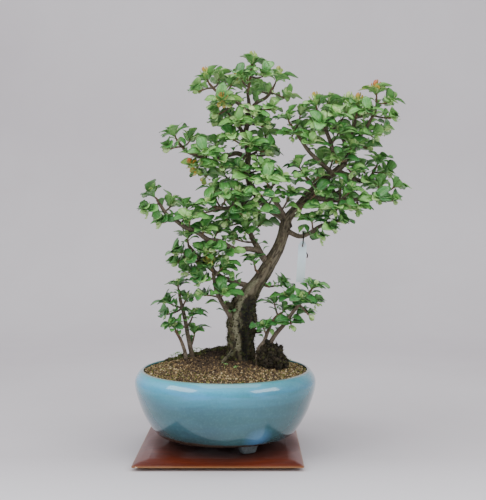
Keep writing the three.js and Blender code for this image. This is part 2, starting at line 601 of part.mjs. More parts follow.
// Board: a square turned like a bowl with four sides, its top edge softly rounded
{
  const half = BOARD_SIDE / 2;
  const profile = [[0, 0], [half - BOARD_FOOT_INSET, 0], [half - 1, 1.2], [half, 2.6], [half, 4.6],
    [half - 3, 6.6], [half - 9, 8.8], [half - 18, BOARD_TOP], [0, BOARD_TOP]];
  const corners = profile.map(([r, z]) => new THREE.Vector2(r * Math.SQRT2, z));
  const geometry = new THREE.LatheGeometry(corners, 4);
  geometry.rotateX(Math.PI / 2);
  geometry.rotateZ(Math.PI / 4);
  add('board', geometryOf(solid(geometry)), VARNISH);
}

// Turned pieces share the bowl's axis and facets
function turned(profile) {
  const geometry = new THREE.LatheGeometry(profile.map(([r, z]) => new THREE.Vector2(r, z)), ROUND);
  geometry.rotateX(Math.PI / 2);
  geometry.translate(POT_CENTRE.x, POT_CENTRE.y, 0);
  return geometry;
}

// Bowl: a closed wall with a drain hole, an incurved rim and three feet, each under a swell
{
  const wall = turned([[DRAIN_RADIUS, POT_BASE], ...BOWL_OUTSIDE, BOWL_LIP, ...BOWL_INSIDE,
    [DRAIN_RADIUS, POT_FLOOR], [DRAIN_RADIUS, POT_BASE]]);
  const hollow = turned([[0, POT_FLOOR], ...[...BOWL_INSIDE].reverse(), [0, SOIL_TOUCH]]);
  const sole = BOARD_TOP + GAP;
  const root = POT_FLOOR - 4;
  const outline = [[-0.32, sole], [0.32, sole], [0.45, sole + 4], [0.5, root], [-0.5, root],
    [-0.45, sole + 4]];
  const shape = new THREE.Shape(outline.map(([share, z]) => new THREE.Vector2(share * FOOT_WIDTH, z)));
  const foot = new THREE.ExtrudeGeometry(shape, { depth: FOOT_DEPTH, bevelEnabled: false });
  foot.rotateX(Math.PI / 2);
  foot.translate(0, FOOT_OUTER, 0);
  const swell = new THREE.SphereGeometry(1, 8, 4);
  swell.scale(0.55 * FOOT_WIDTH, 9, 13);
  swell.rotateX(-0.55);
  swell.translate(0, 84, 33);
  let bowl = solid(wall);
  for (let i = 0; i < FOOT_COUNT; i++) {
    for (const lump of [foot, swell]) {
      const placed = lump.clone();
      placed.rotateZ(THREE.MathUtils.degToRad(FOOT_AZIMUTH + 360 * i / FOOT_COUNT - 90));
      placed.translate(POT_CENTRE.x, POT_CENTRE.y, 0);
      bowl = bowl.add(solid(placed));
    }
  }
  add('pot', geometryOf(largest(bowl.subtract(solid(hollow)))), GLAZE);
}

// Wood of the trunk and its two limbs, one growth
const trunk = largest(woodSolid(0));
add('trunk', geometryOf(trunk), BARK);

// Tag: a strip with a hole at its top, hung from a bent wire over the lowest right branch
const TAG_TOP = new THREE.Vector3(103.7, -13, 264);
const WIRE_PATH = [[104.2, -7.6, 262], [104.6, -7.4, 268], [104.7, -8.6, 274], [104.7, -11.8, 275.8],
  [104.6, -15.1, 274], [104.3, -16.4, 269], [103.8, -16, 262.5], [103.3, -14.6, 258.6],
  [103.2, -12.4, 257.6], [104.6, -10.6, 255], [107.4, -10, 250.6], [109.6, -11, 246.4], [109, -12.6, 243]];
{
  const half = TAG_WIDTH / 2;
  const neck = TAG_NECK / 2;
  const outline = [[-half, -TAG_LENGTH], [half, -TAG_LENGTH], [half, -TAG_SHOULDER], [neck, 0], [-neck, 0],
    [-half, -TAG_SHOULDER]];
  const shape = new THREE.Shape(outline.map(([x, z]) => new THREE.Vector2(x, z)));
  shape.holes.push(new THREE.Path().absarc(0, -HOLE_DROP, HOLE_RADIUS, 0, 2 * Math.PI, true));
  const strip = new THREE.ExtrudeGeometry(shape, { depth: TAG_THICK, bevelEnabled: false, curveSegments: 5 });
  strip.rotateX(Math.PI / 2);
  strip.translate(0, TAG_THICK / 2, 0);
  strip.rotateY(-TAG_LEAN);
  strip.translate(TAG_TOP.x, TAG_TOP.y, TAG_TOP.z);
  add('tag', geometryOf(solid(strip)), PLASTIC);

  const round = new THREE.Path().absarc(0, 0, WIRE_RADIUS, 0, 2 * Math.PI).getPoints(3).slice(0, -1);
  const path = new THREE.CatmullRomCurve3(WIRE_PATH.map((point) => new THREE.Vector3(...point)));
  const options = { steps: 20, extrudePath: path, bevelEnabled: false };
  add('tag_wire', geometryOf(solid(new THREE.ExtrudeGeometry(new THREE.Shape(round), options))), WIRE);
}

// What the leaves keep clear of: the trunk and limbs, the tag and its wire, the soil
const keepOut = [...stemHulls(TRUNK, 8, 20, 2), ...stemHulls(RIGHT_LIMB, 6, 14),
  ...stemHulls(LEFT_LIMB, 6, 14), ...stemHulls(STUB, 6, 1), ...stemHulls(SHOULDER, 6, 2),
  boxHull([98, -17, 210], [111, -9, 266]), boxHull([102, -18, 240], [111, -6, 277]),
  boxHull([-60, -60, 96], [80, 60, 112]), boxHull([-20, -20, 112], [50, 40, 118])];

const plans = Object.entries(STEMS).map(([name, stem], index) => {
  const { rings, spurs } = seatSpurs(stem.path, stem.tips);
  const wood = rings.slice(1).map((ring, i) => {
    const { along, across, out } = place(stem.path, (i + 0.5) / (rings.length - 1));
    return hull([...rings[i], ...ring], [along, across, out]);
  });
  const twigs = spurs.map(({ foot, end, axis, toward }) => hull([...foot, ...end],
    [axis, toward(0), toward(Math.PI / 2)]));
  return { name, stem, index, rings, spurs, wood, twigs, leavesOf: [] };
});

for (const plan of plans) {
  plan.stem.tips.forEach(([, , , count], k) => {
    const near = plans.flatMap((other) => [
      ...other.wood,
      ...other.twigs.filter((_, i) => other !== plan || i !== k),
      ...other.leavesOf.flat().map((leaf) => leaf.whole),
    ]);
    const roll = dice(1000 * plan.index + 37 * k + 5);
    plan.leavesOf.push(growLeaves(plan.spurs[k], count, plan.stem.leaf, roll, [...keepOut, ...near]));
  });
}

// Every leafy stem is one body, cut back from the wood that it grows on
const clearance = [woodSolid(GAP + 0.05)];
for (const plan of plans) {
  const { path } = plan.stem;
  const whole = solid(leafyStemGeometry(plan, plan.leavesOf));
  const body = clearance.reduce((rest, wood) => rest.subtract(wood), whole);
  clearance.push(solid(stemGeometry(path, 4, path.length - 1, GAP + 0.4)));
  add(plan.name, geometryOf(largest(body)), LEAF);
}

// Soil: fills the bowl, with plain holes where the trunk and the suckers stand
const ROOTED = ['left_sucker', 'left_sucker_twin', 'right_sucker', 'right_sucker_short'];
const names = Object.keys(STEMS);
const inGround = [clearance[0], ...ROOTED.map((name) => clearance[1 + names.indexOf(name)])];

function soilSolid(raise) {
  const wall = BOWL_INSIDE.map(([radius, z]) => [radius - GAP - 0.1, Math.max(z, POT_FLOOR + GAP)]);
  const top = [97, 82, 65, 47, 29, 11, 0].map((radius) => [radius, SOIL_EDGE + 1]);
  const geometry = turned([[0, POT_FLOOR + GAP], ...wall.reverse(), [SOIL_RADIUS, SOIL_EDGE], ...top]);
  const position = geometry.attributes.position;
  for (let i = 0; i < position.count; i++) {
    const [x, y, z] = [position.getX(i), position.getY(i), position.getZ(i)];
    if (z < SOIL_EDGE) continue;
    const grain = z > SOIL_EDGE ? GRAIN * Math.sin(12.9 * Math.round(x) + 78.2 * Math.round(y)) : 0;
    position.setZ(i, soilHeight(x, y) + grain + raise);
  }
  return solid(geometry);
}

const soil = inGround.reduce((whole, stem) => whole.subtract(stem), soilSolid(0));
add('soil', geometryOf(largest(soil)), SOIL);

// Clump of roots and dark moss, set on the soil round the right suckers
{
  const geometry = new THREE.SphereGeometry(1, 10, 7);
  const position = geometry.attributes.position;
  for (let i = 0; i < position.count; i++) {
    const spot = new THREE.Vector3().fromBufferAttribute(position, i);
    const lump = 1 + 0.1 * Math.sin(7 * spot.x + 3 * spot.y) * Math.sin(5 * spot.y + 6 * spot.z);
    spot.multiplyScalar(lump).multiply(CLUMP_SIZE).add(CLUMP_CENTRE);
    position.setXYZ(i, spot.x, spot.y, spot.z);
  }
  const clump = inGround.reduce((whole, stem) => whole.subtract(stem),
    solid(geometry).subtract(soilSolid(GAP)));
  add('root_clump', geometryOf(largest(clump)), MOSS);
}

export default bonsai;
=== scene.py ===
# %% [markdown]
# # A flowering quince bonsai in full leaf
# The tree has an old trunk that leans and forks, branches set with short spurs, and leaves
# in rosettes at the spurs' ends. It stands in a glazed bowl on a varnished board. Shapes are
# made in millimetres, which read easily, and each piece is scaled to metres when it is done.
# The solids of the same tree are loaded first, and each piece made here stands in for one.

import json
from math import atan2, copysign, cos, degrees, dist, exp, hypot, pi, radians, sin, sqrt

import bmesh
import bpy
from bmesh.types import BMEdge, BMFace, BMVert
import numpy as np
from mathutils import Matrix, Vector, noise
from mathutils.kdtree import KDTree

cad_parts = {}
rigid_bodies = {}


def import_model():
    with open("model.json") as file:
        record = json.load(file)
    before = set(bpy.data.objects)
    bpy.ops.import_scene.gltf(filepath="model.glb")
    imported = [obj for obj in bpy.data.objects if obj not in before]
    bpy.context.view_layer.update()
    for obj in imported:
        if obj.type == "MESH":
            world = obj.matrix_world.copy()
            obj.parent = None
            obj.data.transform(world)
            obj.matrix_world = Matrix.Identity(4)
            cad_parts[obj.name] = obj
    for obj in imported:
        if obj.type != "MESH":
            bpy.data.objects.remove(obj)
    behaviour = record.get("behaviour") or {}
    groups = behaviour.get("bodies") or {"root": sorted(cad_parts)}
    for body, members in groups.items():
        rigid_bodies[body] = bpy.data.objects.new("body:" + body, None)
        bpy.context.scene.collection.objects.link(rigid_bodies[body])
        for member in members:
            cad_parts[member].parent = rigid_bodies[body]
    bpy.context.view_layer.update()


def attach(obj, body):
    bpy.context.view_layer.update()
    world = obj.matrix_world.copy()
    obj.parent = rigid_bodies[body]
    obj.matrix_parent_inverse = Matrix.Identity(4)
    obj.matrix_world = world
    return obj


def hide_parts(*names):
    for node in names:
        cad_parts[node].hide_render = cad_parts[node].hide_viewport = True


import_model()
MM = 0.001

# %% [markdown]
# ## Camera
# A camera can be set by eye, but then nothing lines up exactly. Here it is found again from
# its picture. The board's edges run away from the viewer and meet at one point, which gives
# the horizon, and the board's known width gives the distance. The camera looks level,
# because upright lines stay upright in the picture. The small offsets of that point from the
# picture's middle are taken up by the lens's shift.

# %% Set the camera
PICTURE_HEIGHT = 500  # pixels
FOCAL = 816.5  # focal length in pixels
HORIZON_UP = 24.0  # pixels from the picture's middle up to the horizon
AHEAD_RIGHT = 6.5  # and right to where the depth lines meet
CAMERA_PLACE = (36.6, -1039.6, 282.9)

camera = bpy.data.objects.new("camera", bpy.data.cameras.new("camera"))
camera.data.lens = camera.data.sensor_width * FOCAL / PICTURE_HEIGHT
camera.data.shift_x = -AHEAD_RIGHT / PICTURE_HEIGHT
camera.data.shift_y = -HORIZON_UP / PICTURE_HEIGHT
camera.location = Vector(CAMERA_PLACE) * MM
camera.rotation_euler = (pi / 2, 0, 0)
bpy.context.scene.collection.objects.link(camera)
bpy.context.scene.camera = camera
print("lens", round(camera.data.lens, 2), "mm")

# %% [markdown]
# ## Helpers for finishes
# A finish is a Principled shader whose colour, roughness and bump are fed by texture nodes.
# Painted pictures would also do, but nodes stay sharp at any distance and can be changed. A
# small class makes a node and feeds its sockets in one line.

# %% Helper for nodes
def colour(red, green, blue):
    """A colour as it looks on a screen, 0 to 255, as the linear values that a shader takes."""
    return (*(((value / 255 + 0.055) / 1.055) ** 2.4 for value in (red, green, blue)), 1)


class NodeMaker:
    """A new material, with short ways to add a node and to feed a socket."""
    def __init__(self, name, **sockets):
        self.material = bpy.data.materials.new(name)
        self.material.use_nodes = True
        self.nodes = self.material.node_tree.nodes
        self.shader = self.nodes["Principled BSDF"]
        for key, value in sockets.items():
            self.shader.inputs[key.replace("_", " ")].default_value = value

    def feed(self, socket, value):
        """Links or sets a socket. A colour is given as red, green and blue, 0 to 255."""
        if isinstance(value, bpy.types.NodeSocket):
            self.material.node_tree.links.new(value, socket)
        else:
            socket.default_value = colour(*value) if socket.type == "RGBA" else value

    def node(self, kind, inputs, **settings):
        node = self.nodes.new("ShaderNode" + kind)
        for key, value in settings.items():
            setattr(node, key, value)
        for key, value in inputs.items():
            self.feed(node.inputs[key], value)
        return node


print("a grey of 128 on a screen is", round(colour(128, 128, 128)[0], 3), "in a shader")

# %% [markdown]
# Nodes could be wired by hand in the editor. Here each pattern is a short call, so a finish
# reads like a recipe. Patterns read Object coordinates, which are metres on the finished
# piece, so a scale of 400 gives spots of about 2.5 mm.

# %% Helper for patterns
class Finish(NodeMaker):
    def spot(self, stretch=(1, 1, 1)):
        coordinates = self.node("TexCoord", {}).outputs["Object"]
        return self.node("Mapping", {"Vector": coordinates, "Scale": stretch}).outputs["Vector"]

    def axis(self, letter):
        """How far a spot lies along X, Y or Z, in metres."""
        return self.node("SeparateXYZ", {0: self.spot()}).outputs[letter]

    def distance(self, place, stretch=(1, 1, 1)):
        """How far a spot is from a place, in metres."""
        return self.node("VectorMath", {0: self.spot(stretch), 1: place}, operation="DISTANCE").outputs["Value"]

    def noise(self, scale, detail=3, stretch=(1, 1, 1), roughness=0.55, distortion=0):
        return self.node("TexNoise", {"Vector": self.spot(stretch), "Scale": scale, "Detail": detail,
                                      "Roughness": roughness, "Distortion": distortion}).outputs["Fac"]

    def ramp(self, value, *stops):
        """Colours along a value. A stop is its place, then its red, green and blue."""
        node = self.node("ValToRGB", {"Fac": value})
        band = node.color_ramp
        while len(band.elements) < len(stops):
            band.elements.new(0.5)
        for element, (place, *tint) in zip(band.elements, stops):
            element.position = place
            element.color = colour(*tint)
        return node.outputs["Color"]

    def level(self, value, low, high, start=0, end=1):
        """Goes from start to end while the value goes from low to high, and no further."""
        return self.node("MapRange", {"Value": value, "From Min": low, "From Max": high,
                                      "To Min": start, "To Max": end}).outputs["Result"]

    def mix(self, share, one, other):
        node = self.node("Mix", {}, data_type="RGBA")
        self.feed(node.inputs[0], share)
        self.feed(node.inputs[6], one)
        self.feed(node.inputs[7], other)
        return node.outputs[2]

    def math(self, operation, one, other=0.0):
        return self.node("Math", {0: one, 1: other}, operation=operation).outputs[0]

    def times(self, one, other):
        return self.math("MULTIPLY", one, other)

    def plus(self, one, other):
        return self.math("ADD", one, other)

    def attribute(self, name):
        """The number that a piece keeps for each of its vertices under this name."""
        return self.node("Attribute", {}, attribute_name=name).outputs["Fac"]

    def show(self, tint, roughness=None, height=None, depth=0.0005, strength=1.0):
        """Feeds the shader. depth is the relief's height in metres."""
        self.feed(self.shader.inputs["Base Color"], tint)
        if roughness is not None:
            self.feed(self.shader.inputs["Roughness"], roughness)
        if height is not None:
            bump = self.node("Bump", {"Height": height, "Distance": depth, "Strength": strength})
            self.feed(self.shader.inputs["Normal"], bump.outputs["Normal"])


def grainy(name, roughness, scale, detail, depth, strength, *stops):
    """A finish whose colour and relief both follow one noise."""
    finish = Finish(name, Roughness=roughness)
    grain = finish.noise(scale, detail)
    finish.show(finish.ramp(grain, *stops), None, grain, depth, strength)
    return finish


print("patterns:", ", ".join(name for name in vars(Finish) if name[0] != "_"))

# %% [markdown]
# A shape is built as a bmesh, Blender's mesh for editing, and kept as a mesh when it is
# done. The vertices could be scaled by an object's own scale, but finished objects stay at
# the origin and unscaled, so that patterns on them don't slide, and the mesh is scaled.

# %% Helper for pieces
def add_object(name, mesh):
    piece = bpy.data.objects.new(name, mesh)
    bpy.context.scene.collection.objects.link(piece)
    return piece


def plain_mesh(name, bm):
    mesh = bpy.data.meshes.new(name)
    bm.to_mesh(mesh)
    bm.free()
    return mesh


def to_mesh(name, bm):
    """A mesh in metres from a bmesh in millimetres."""
    bmesh.ops.scale(bm, vec=(MM, MM, MM), verts=bm.verts)
    return plain_mesh(name, bm)


def closed_mesh(name, bm):
    """A mesh in metres with every face turned outward."""
    bmesh.ops.recalc_face_normals(bm, faces=bm.faces)
    return to_mesh(name, bm)


def picked(geometry, kind):
    """Only the vertices, the edges or the faces of what an operator made."""
    return [item for item in geometry if isinstance(item, kind)]


print("pieces are scaled by", MM, "when they are done")

# %% [markdown]
# ## Floor and backdrop
# Bonsai are shown before one long sheet that runs from the floor up behind the tree, so that
# no line crosses the picture. A plane and a wall would leave a corner. So the sheet is a
# single quad whose back edge is extruded round a bend, step by step.

# %% Build the sheet
SHEET_SIZE, SHEET_BACK, SHEET_BEND, SHEET_WALL = 3000, 900, 600, 3500
BENDS = 12
stage_finish = Finish("grey_sheet", Roughness=0.75)
mottle = stage_finish.noise(2.2, 4)
sheet_tint = stage_finish.ramp(mottle, (0.3, 201, 197, 202), (0.7, 210, 207, 212))
# painted light: the sheet is mixed toward a paler grey nearer the front, as if lit more there
painted_front_light = stage_finish.level(stage_finish.axis("Y"), -0.04, -0.2)
stage_finish.show(stage_finish.mix(painted_front_light, sheet_tint, (230, 228, 234)))

bm = bmesh.new()
bmesh.ops.create_grid(bm, x_segments=1, y_segments=1, size=SHEET_SIZE)
edge = max(bm.edges, key=lambda e: e.verts[0].co.y + e.verts[1].co.y)
for vertex in edge.verts:
    vertex.co.y = SHEET_BACK
for step in range(1, BENDS + 2):
    edge = picked(bmesh.ops.extrude_edge_only(bm, edges=[edge])["geom"], BMEdge)[0]
    turn = pi / 2 * min(step, BENDS) / BENDS
    for vertex in edge.verts:
        vertex.co.y = SHEET_BACK + SHEET_BEND * sin(turn)
        vertex.co.z = SHEET_BEND * (1 - cos(turn)) + (SHEET_WALL if step > BENDS else 0)
sheet_mesh = closed_mesh("floor", bm)
sheet_mesh.shade_smooth()
sheet_mesh.materials.append(stage_finish.material)
add_object("floor", sheet_mesh)
print("sheet", len(sheet_mesh.polygons), "faces")

# %% [markdown]
# ## Light
# The picture was lit by large soft lamps on both sides: two long highlights lie on the
# bowl's shoulder, and the shadows are faint. A sun lamp would be too hard. Three area lights
# and a pale world give the same highlights and the same soft shade under the bowl, where a
# shadow is also painted on the board.

# %% Hang the lights
def hang_light(name, place, aim, size, power):
    lamp = bpy.data.lights.new(name, "AREA")
    lamp.shape = "RECTANGLE"
    lamp.size, lamp.size_y = size
    lamp.energy = power
    light = bpy.data.objects.new(name, lamp)
    light.location = place
    light.rotation_euler = (Vector(aim) - Vector(place)).to_track_quat("-Z", "Y").to_euler()
    bpy.context.scene.collection.objects.link(light)
    print(name, power, "W")


hang_light("top_light", (0.1, -0.25, 1.7), (0.05, 0, 0.2), (1.6, 1.2), 13)
hang_light("left_light", (-1.57, -0.84, 1.4), (0, 0, 0.1), (1.4, 0.68), 16.5)
hang_light("right_light", (1.5, -1.0, 1.22), (0.05, 0, 0.1), (1.25, 0.64), 13)
world = bpy.data.worlds.new("studio")
world.use_nodes = True
world.node_tree.nodes["Background"].inputs["Color"].default_value = (1.0, 0.98, 0.985, 1)
world.node_tree.nodes["Background"].inputs["Strength"].default_value = 0.86
bpy.context.scene.world = world

# %% [markdown]
# ## Board
# A display board is a square slab with a cushioned top edge. It could be a cube with bevels,
# but its edge has its own section, flat below and swelling to the rim. So a square is
# extruded upwards again and again and scaled at each height, which gives the section all
# round, and a Bevel modifier then rounds every edge a little.

# %% Model the board
BOARD_SECTION = [(88, 0), (95, 2.8), (100, 4.2), (100, 5.4), (97, 7), (91, 8.9), (82, 10)]

bm = bmesh.new()
bmesh.ops.create_grid(bm, x_segments=1, y_segments=1, size=BOARD_SECTION[0][0])
top = bm.faces[:][0]
for half, height in BOARD_SECTION[1:]:
    top = picked(bmesh.ops.extrude_face_region(bm, geom=[top])["geom"], BMFace)[0]
    for vertex in top.verts:
        vertex.co = (copysign(half, vertex.co.x), copysign(half, vertex.co.y), height)
corners = [e for e in bm.edges if abs(e.verts[0].co.z - e.verts[1].co.z) > 0.1]
bmesh.ops.bevel(bm, geom=corners, offset=2.5, offset_type="OFFSET", segments=3, profile=0.5,
                affect="EDGES", material=-1)
board_mesh = closed_mesh("display_board", bm)
print("board", len(board_mesh.polygons), "faces before rounding")

# %% [markdown]
# The wood is red-brown with a fine straight grain under a shining varnish. The varnish could
# be a second thin mesh, but the shader's coat is that layer already. The grain is a noise
# stretched along X. Under the bowl the board carries a painted shadow and a duller varnish,
# and a few pale chips show along the front edge where it has been knocked. Each finished
# mesh is handed over in one call, so that no piece misses its finish or its body.

# %% Varnish the board
def hand_over(name, mesh, finish, slot, *nodes):
    """Shows the mesh as a piece of the bonsai, in place of the solids named."""
    mesh.shade_smooth()
    mesh.materials.clear()
    mesh.materials.append(finish.material)
    piece = add_object(name, mesh)
    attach(piece, "root")
    if nodes:
        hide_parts(*nodes)
    print(name, len(mesh.polygons), "faces")
    return piece


def round_edges(piece, width, segments, angle):
    """Rounds the edges that turn by more than the angle, by a modifier that stays live."""
    bevel = piece.modifiers.new("rounded edges", "BEVEL")
    bevel.width = width * MM
    bevel.segments = segments
    bevel.limit_method = "ANGLE"
    bevel.angle_limit = radians(angle)
    bevel.harden_normals = True


BOWL_CENTRE = Vector((6, 0, 0))
# place in x and y, height and size of each chip
CHIPS = [((-115, -92), 9.2, 2.2), ((17, -100), 3.4, 1.1), ((33, -100), 3.5, 0.9), ((-94, -100), 4.4, 1.4),
         ((99, -99), 3, 1.8), ((-99, -99), 3, 1.6)]
varnish = Finish("red_brown_varnish", Coat_Weight=0.16, Coat_Roughness=0.12, Specular_IOR_Level=0.35)
grain = varnish.noise(260, 5, stretch=(0.05, 1, 1), distortion=0.4)
cloud = varnish.noise(9, 3)
wood = varnish.ramp(grain, (0.3, 86, 34, 21), (0.55, 108, 46, 28), (0.8, 124, 58, 35))
wood = varnish.mix(varnish.level(cloud, 0.35, 0.7, 0, 0.45), wood, (70, 28, 20))
# painted highlight: the board's side below about 6 mm is mixed toward golden brown, as a lit edge band
painted_edge_highlight = varnish.level(varnish.axis("Z"), 0.0066, 0.005, 0, 0.85)
wood = varnish.mix(painted_edge_highlight, wood, (140, 96, 56))
for (x, y), z, size in CHIPS:
    gap = varnish.distance((x * MM, y * MM, z * MM))
    ragged = varnish.plus(gap, varnish.level(varnish.noise(900, 2), 0.3, 0.7, -0.0006, 0.0006))
    wood = varnish.mix(varnish.level(ragged, size * MM, 0.7 * size * MM), wood, (214, 190, 160))
from_bowl = varnish.distance((BOWL_CENTRE.x * MM, 0, BOARD_SECTION[-1][1] * MM))
# painted shadow: the board is darkened under the bowl, and its varnish is made duller there
wood = varnish.mix(varnish.level(from_bowl, 0.1, 0.076, 0, 0.6), wood, (44, 24, 18))
dull = varnish.level(from_bowl, 0.1, 0.08, 0, 0.4)
varnish.show(wood, varnish.plus(varnish.level(cloud, 0.3, 0.7, 0.26, 0.38), dull), grain, 0.0001, 0.25)
round_edges(hand_over("display_board", board_mesh, varnish, "varnish", "board"), 0.7, 3, 5)

# %% [markdown]
# ## Bowl
# A bowl is thrown on a wheel, so its wall is the same section all the way round. It could be
# a squashed sphere, hollowed out, but the lip, the shoulder and the foot would be wrong. So
# the section is drawn once, out over the lip and back inside as a closed loop, and spun
# round the axis, which gives a closed wall. The drain hole is the loop's own inner end.

# %% Section of the bowl
BOWL_OUTSIDE = [(78, 23), (84, 23.3), (88, 25.6), (93.5, 32), (99.5, 41.5), (105.2, 53), (109.7, 65), (113, 76),
                (114.4, 85), (113.6, 91.5), (110.8, 97), (107.6, 100.8), (105.6, 102.2)]
BOWL_INSIDE = [(104.3, 102.3), (103.5, 101.3), (104.6, 97), (107, 88), (103.2, 65), (93.2, 44), (79, 30),
               (40, 30)]
DRAIN = 12  # the drain hole's radius


def curve_through(points, share):
    """The point at share of a smooth path through points, which it reaches at even steps."""
    last = len(points) - 1
    below = min(int(share * last), last - 1)
    t = share * last - below
    one, two = points[below], points[below + 1]
    before = points[below - 1] if below else 2 * one - two
    after = points[below + 2] if below + 2 <= last else 2 * two - one
    leave, arrive = (two - before) / 2, (after - one) / 2
    return (one + leave * t + (3 * (two - one) - 2 * leave - arrive) * t ** 2
            + (2 * (one - two) + leave + arrive) * t ** 3)


def smooth_line(points, count):
    """A count of points along the smooth path through the given ones."""
    points = np.array(points, float)
    return [curve_through(points, i / (count - 1)) for i in range(count)]


def spin_section(section, steps, closed):
    """Spins a section, a line of radius and height, round the bowl's axis."""
    bm = bmesh.new()
    ring = [bm.verts.new((BOWL_CENTRE.x + radius, 0, height)) for radius, height in section]
    pairs = zip(ring[-1:] + ring, ring) if closed else zip(ring, ring[1:])
    edges = [bm.edges.new(pair) for pair in pairs]
    bmesh.ops.spin(bm, geom=ring + edges, cent=BOWL_CENTRE, axis=(0, 0, 1), angle=2 * pi,
                   steps=steps, use_merge=True)
    return bm


section = [(DRAIN, 23), *smooth_line(BOWL_OUTSIDE, 46), *smooth_line(BOWL_INSIDE, 26), (DRAIN, 30)]
bm = spin_section(section, 160, True)
print("bowl", len(section), "points in the section,", len(bm.faces), "faces")

# %% [markdown]
# The potter pressed the wall out above each foot, and a thrown wall is never quite even. A
# sculpt brush could do both. Pushing each vertex outward by a short formula does the same,
# fades out by itself, and gives three equal swells.

# %% Press out the swells and throw the wall a little uneven
SWELL_OUT, SWELL_SPREAD, SWELL_HEIGHT, WALL_RADIUS = 4.2, 10, 33, 92
WHEEL_PLAY = 0.25  # how far the thrown wall is off the true round
FOOT_TURNS = [radians(-64.5 + 120 * i) for i in range(3)]


def swell(vertex, turn):
    """How far the wall is pressed out above a foot at that turn."""
    across = vertex.co - BOWL_CENTRE
    off = (atan2(across.y, across.x) - turn + pi) % (2 * pi) - pi
    up = (vertex.co.z - SWELL_HEIGHT) / SWELL_SPREAD
    return SWELL_OUT * exp(-(off * WALL_RADIUS / SWELL_SPREAD) ** 2 - up ** 2)


for vertex in bm.verts:
    across = Vector((vertex.co.x - BOWL_CENTRE.x, vertex.co.y, 0))
    if vertex.co.z < 103 and across.length > 84:
        out = across.normalized()
        wheel = WHEEL_PLAY * noise.noise(Vector((out.x, out.y, vertex.co.z / 30)) * 1.5)
        vertex.co += out * (sum(swell(vertex, turn) for turn in FOOT_TURNS) + wheel)
bowl_mesh = closed_mesh("glazed_bowl", bm)
print("swells above the feet at", [round(degrees(turn)) for turn in FOOT_TURNS], "degrees")

# %% [markdown]
# The glaze is turquoise glass. It ran down while it was molten, so it is bluer and brighter
# on the shoulder and duller below, with soft bands round the wall, and it is thin and brown
# where it left the rim. The foot of the wall and the inside are bare clay. Layers of glass
# could be traced by light, but that is slow. The shader's coat gives the gloss, and a ramp
# along the height, broken up by noise, gives the colour where the glaze ran.

# %% Glaze the bowl
glaze = Finish("turquoise_glaze", Coat_Weight=0.9, Coat_Roughness=0.07, Coat_IOR=1.6, Specular_IOR_Level=0.25)
up, right = glaze.axis("Z"), glaze.axis("X")
band = glaze.noise(20, 5, stretch=(0.35, 0.35, 2.2), distortion=0.5)
cloud = glaze.noise(13, 4)
level = glaze.plus(up, glaze.level(band, 0.3, 0.7, -0.005, 0.005))
tint = glaze.ramp(glaze.level(level, 0.022, 0.103), (0.0, 46, 72, 76), (0.2, 40, 80, 88),
                  (0.42, 34, 90, 102), (0.64, 38, 106, 124), (0.78, 48, 148, 172),
                  (0.84, 50, 160, 198), (0.91, 76, 186, 216), (0.98, 58, 170, 188))
tint = glaze.mix(glaze.level(cloud, 0.42, 0.7, 0, 0.4), tint, (72, 132, 136))
# painted shade: the glaze is darkened toward the right side of the bowl
tint = glaze.mix(glaze.level(right, 0.015, 0.085, 0, 0.6), tint, (30, 78, 82))
mottle = glaze.noise(330, 5, roughness=0.7)
tint = glaze.mix(glaze.level(mottle, 0.5, 0.8, 0, 0.2), tint, (104, 172, 178))
tint = glaze.mix(glaze.level(mottle, 0.5, 0.25, 0, 0.25), tint, (42, 92, 108))
on_shoulder = glaze.times(glaze.level(up, 0.08, 0.089, 0.06, 0.6), glaze.level(up, 0.101, 0.097))
# the blue band also fades toward the right, with the painted shade there
on_shoulder = glaze.times(on_shoulder, glaze.level(right, 0.04, 0.09, 1, 0.2))
blue = glaze.times(glaze.level(band, 0.44, 0.6), on_shoulder)
tint = glaze.mix(blue, tint, (96, 166, 232))
for turn in FOOT_TURNS:
    above_foot = (MM * (BOWL_CENTRE.x + WALL_RADIUS * cos(turn)), MM * WALL_RADIUS * sin(turn), 0.034)
    near = glaze.level(glaze.distance(above_foot), 0.02, 0.007, 0, 0.6)
    tint = glaze.mix(near, tint, (76, 134, 182))
speck = glaze.node("TexVoronoi", {"Vector": glaze.spot(), "Scale": 130}).outputs["Distance"]
tint = glaze.mix(glaze.level(speck, 0.05, 0.03, 0, 0.55), tint, (94, 92, 78))
thin = glaze.level(up, 0.1008, 0.1024, 0, 0.75)
tint = glaze.mix(thin, tint, (120, 128, 112))
reach = glaze.distance((BOWL_CENTRE.x * MM, 0, 0), stretch=(1, 1, 0))
inside = glaze.times(glaze.level(reach, 0.1072, 0.1066), glaze.level(up, 0.0985, 0.1))
bare = glaze.math("MAXIMUM", glaze.times(inside, glaze.level(up, 0.1006, 0.1)),
                  glaze.level(level, 0.0262, 0.0248))
# painted shade: the bare clay is a near-black brown, so the bare line at the wall's foot reads as shade
clay = glaze.ramp(glaze.noise(700, 4), (0.35, 38, 32, 26), (0.65, 72, 62, 52))
tint = glaze.mix(bare, tint, clay)
glaze.show(tint, glaze.level(bare, 0, 1, 0.22, 0.7), cloud, 0.0008, 0.2)
hand_over("glazed_bowl", bowl_mesh, glaze, "glaze", "pot")

# %% [markdown]
# The feet are left unglazed so that the bowl doesn't stick to the kiln's shelf. They could be
# drawn out of the bowl's own wall, but a potter makes them apart and sticks them on, and so
# does this cell. Each is a cube, narrowed to its sole and rounded by bevelling all its edges.

# %% Model the feet
FOOT_WIDTH, FOOT_DEPTH, FOOT_TOP, FOOT_SOLE = 26, 15, 27, 10.3

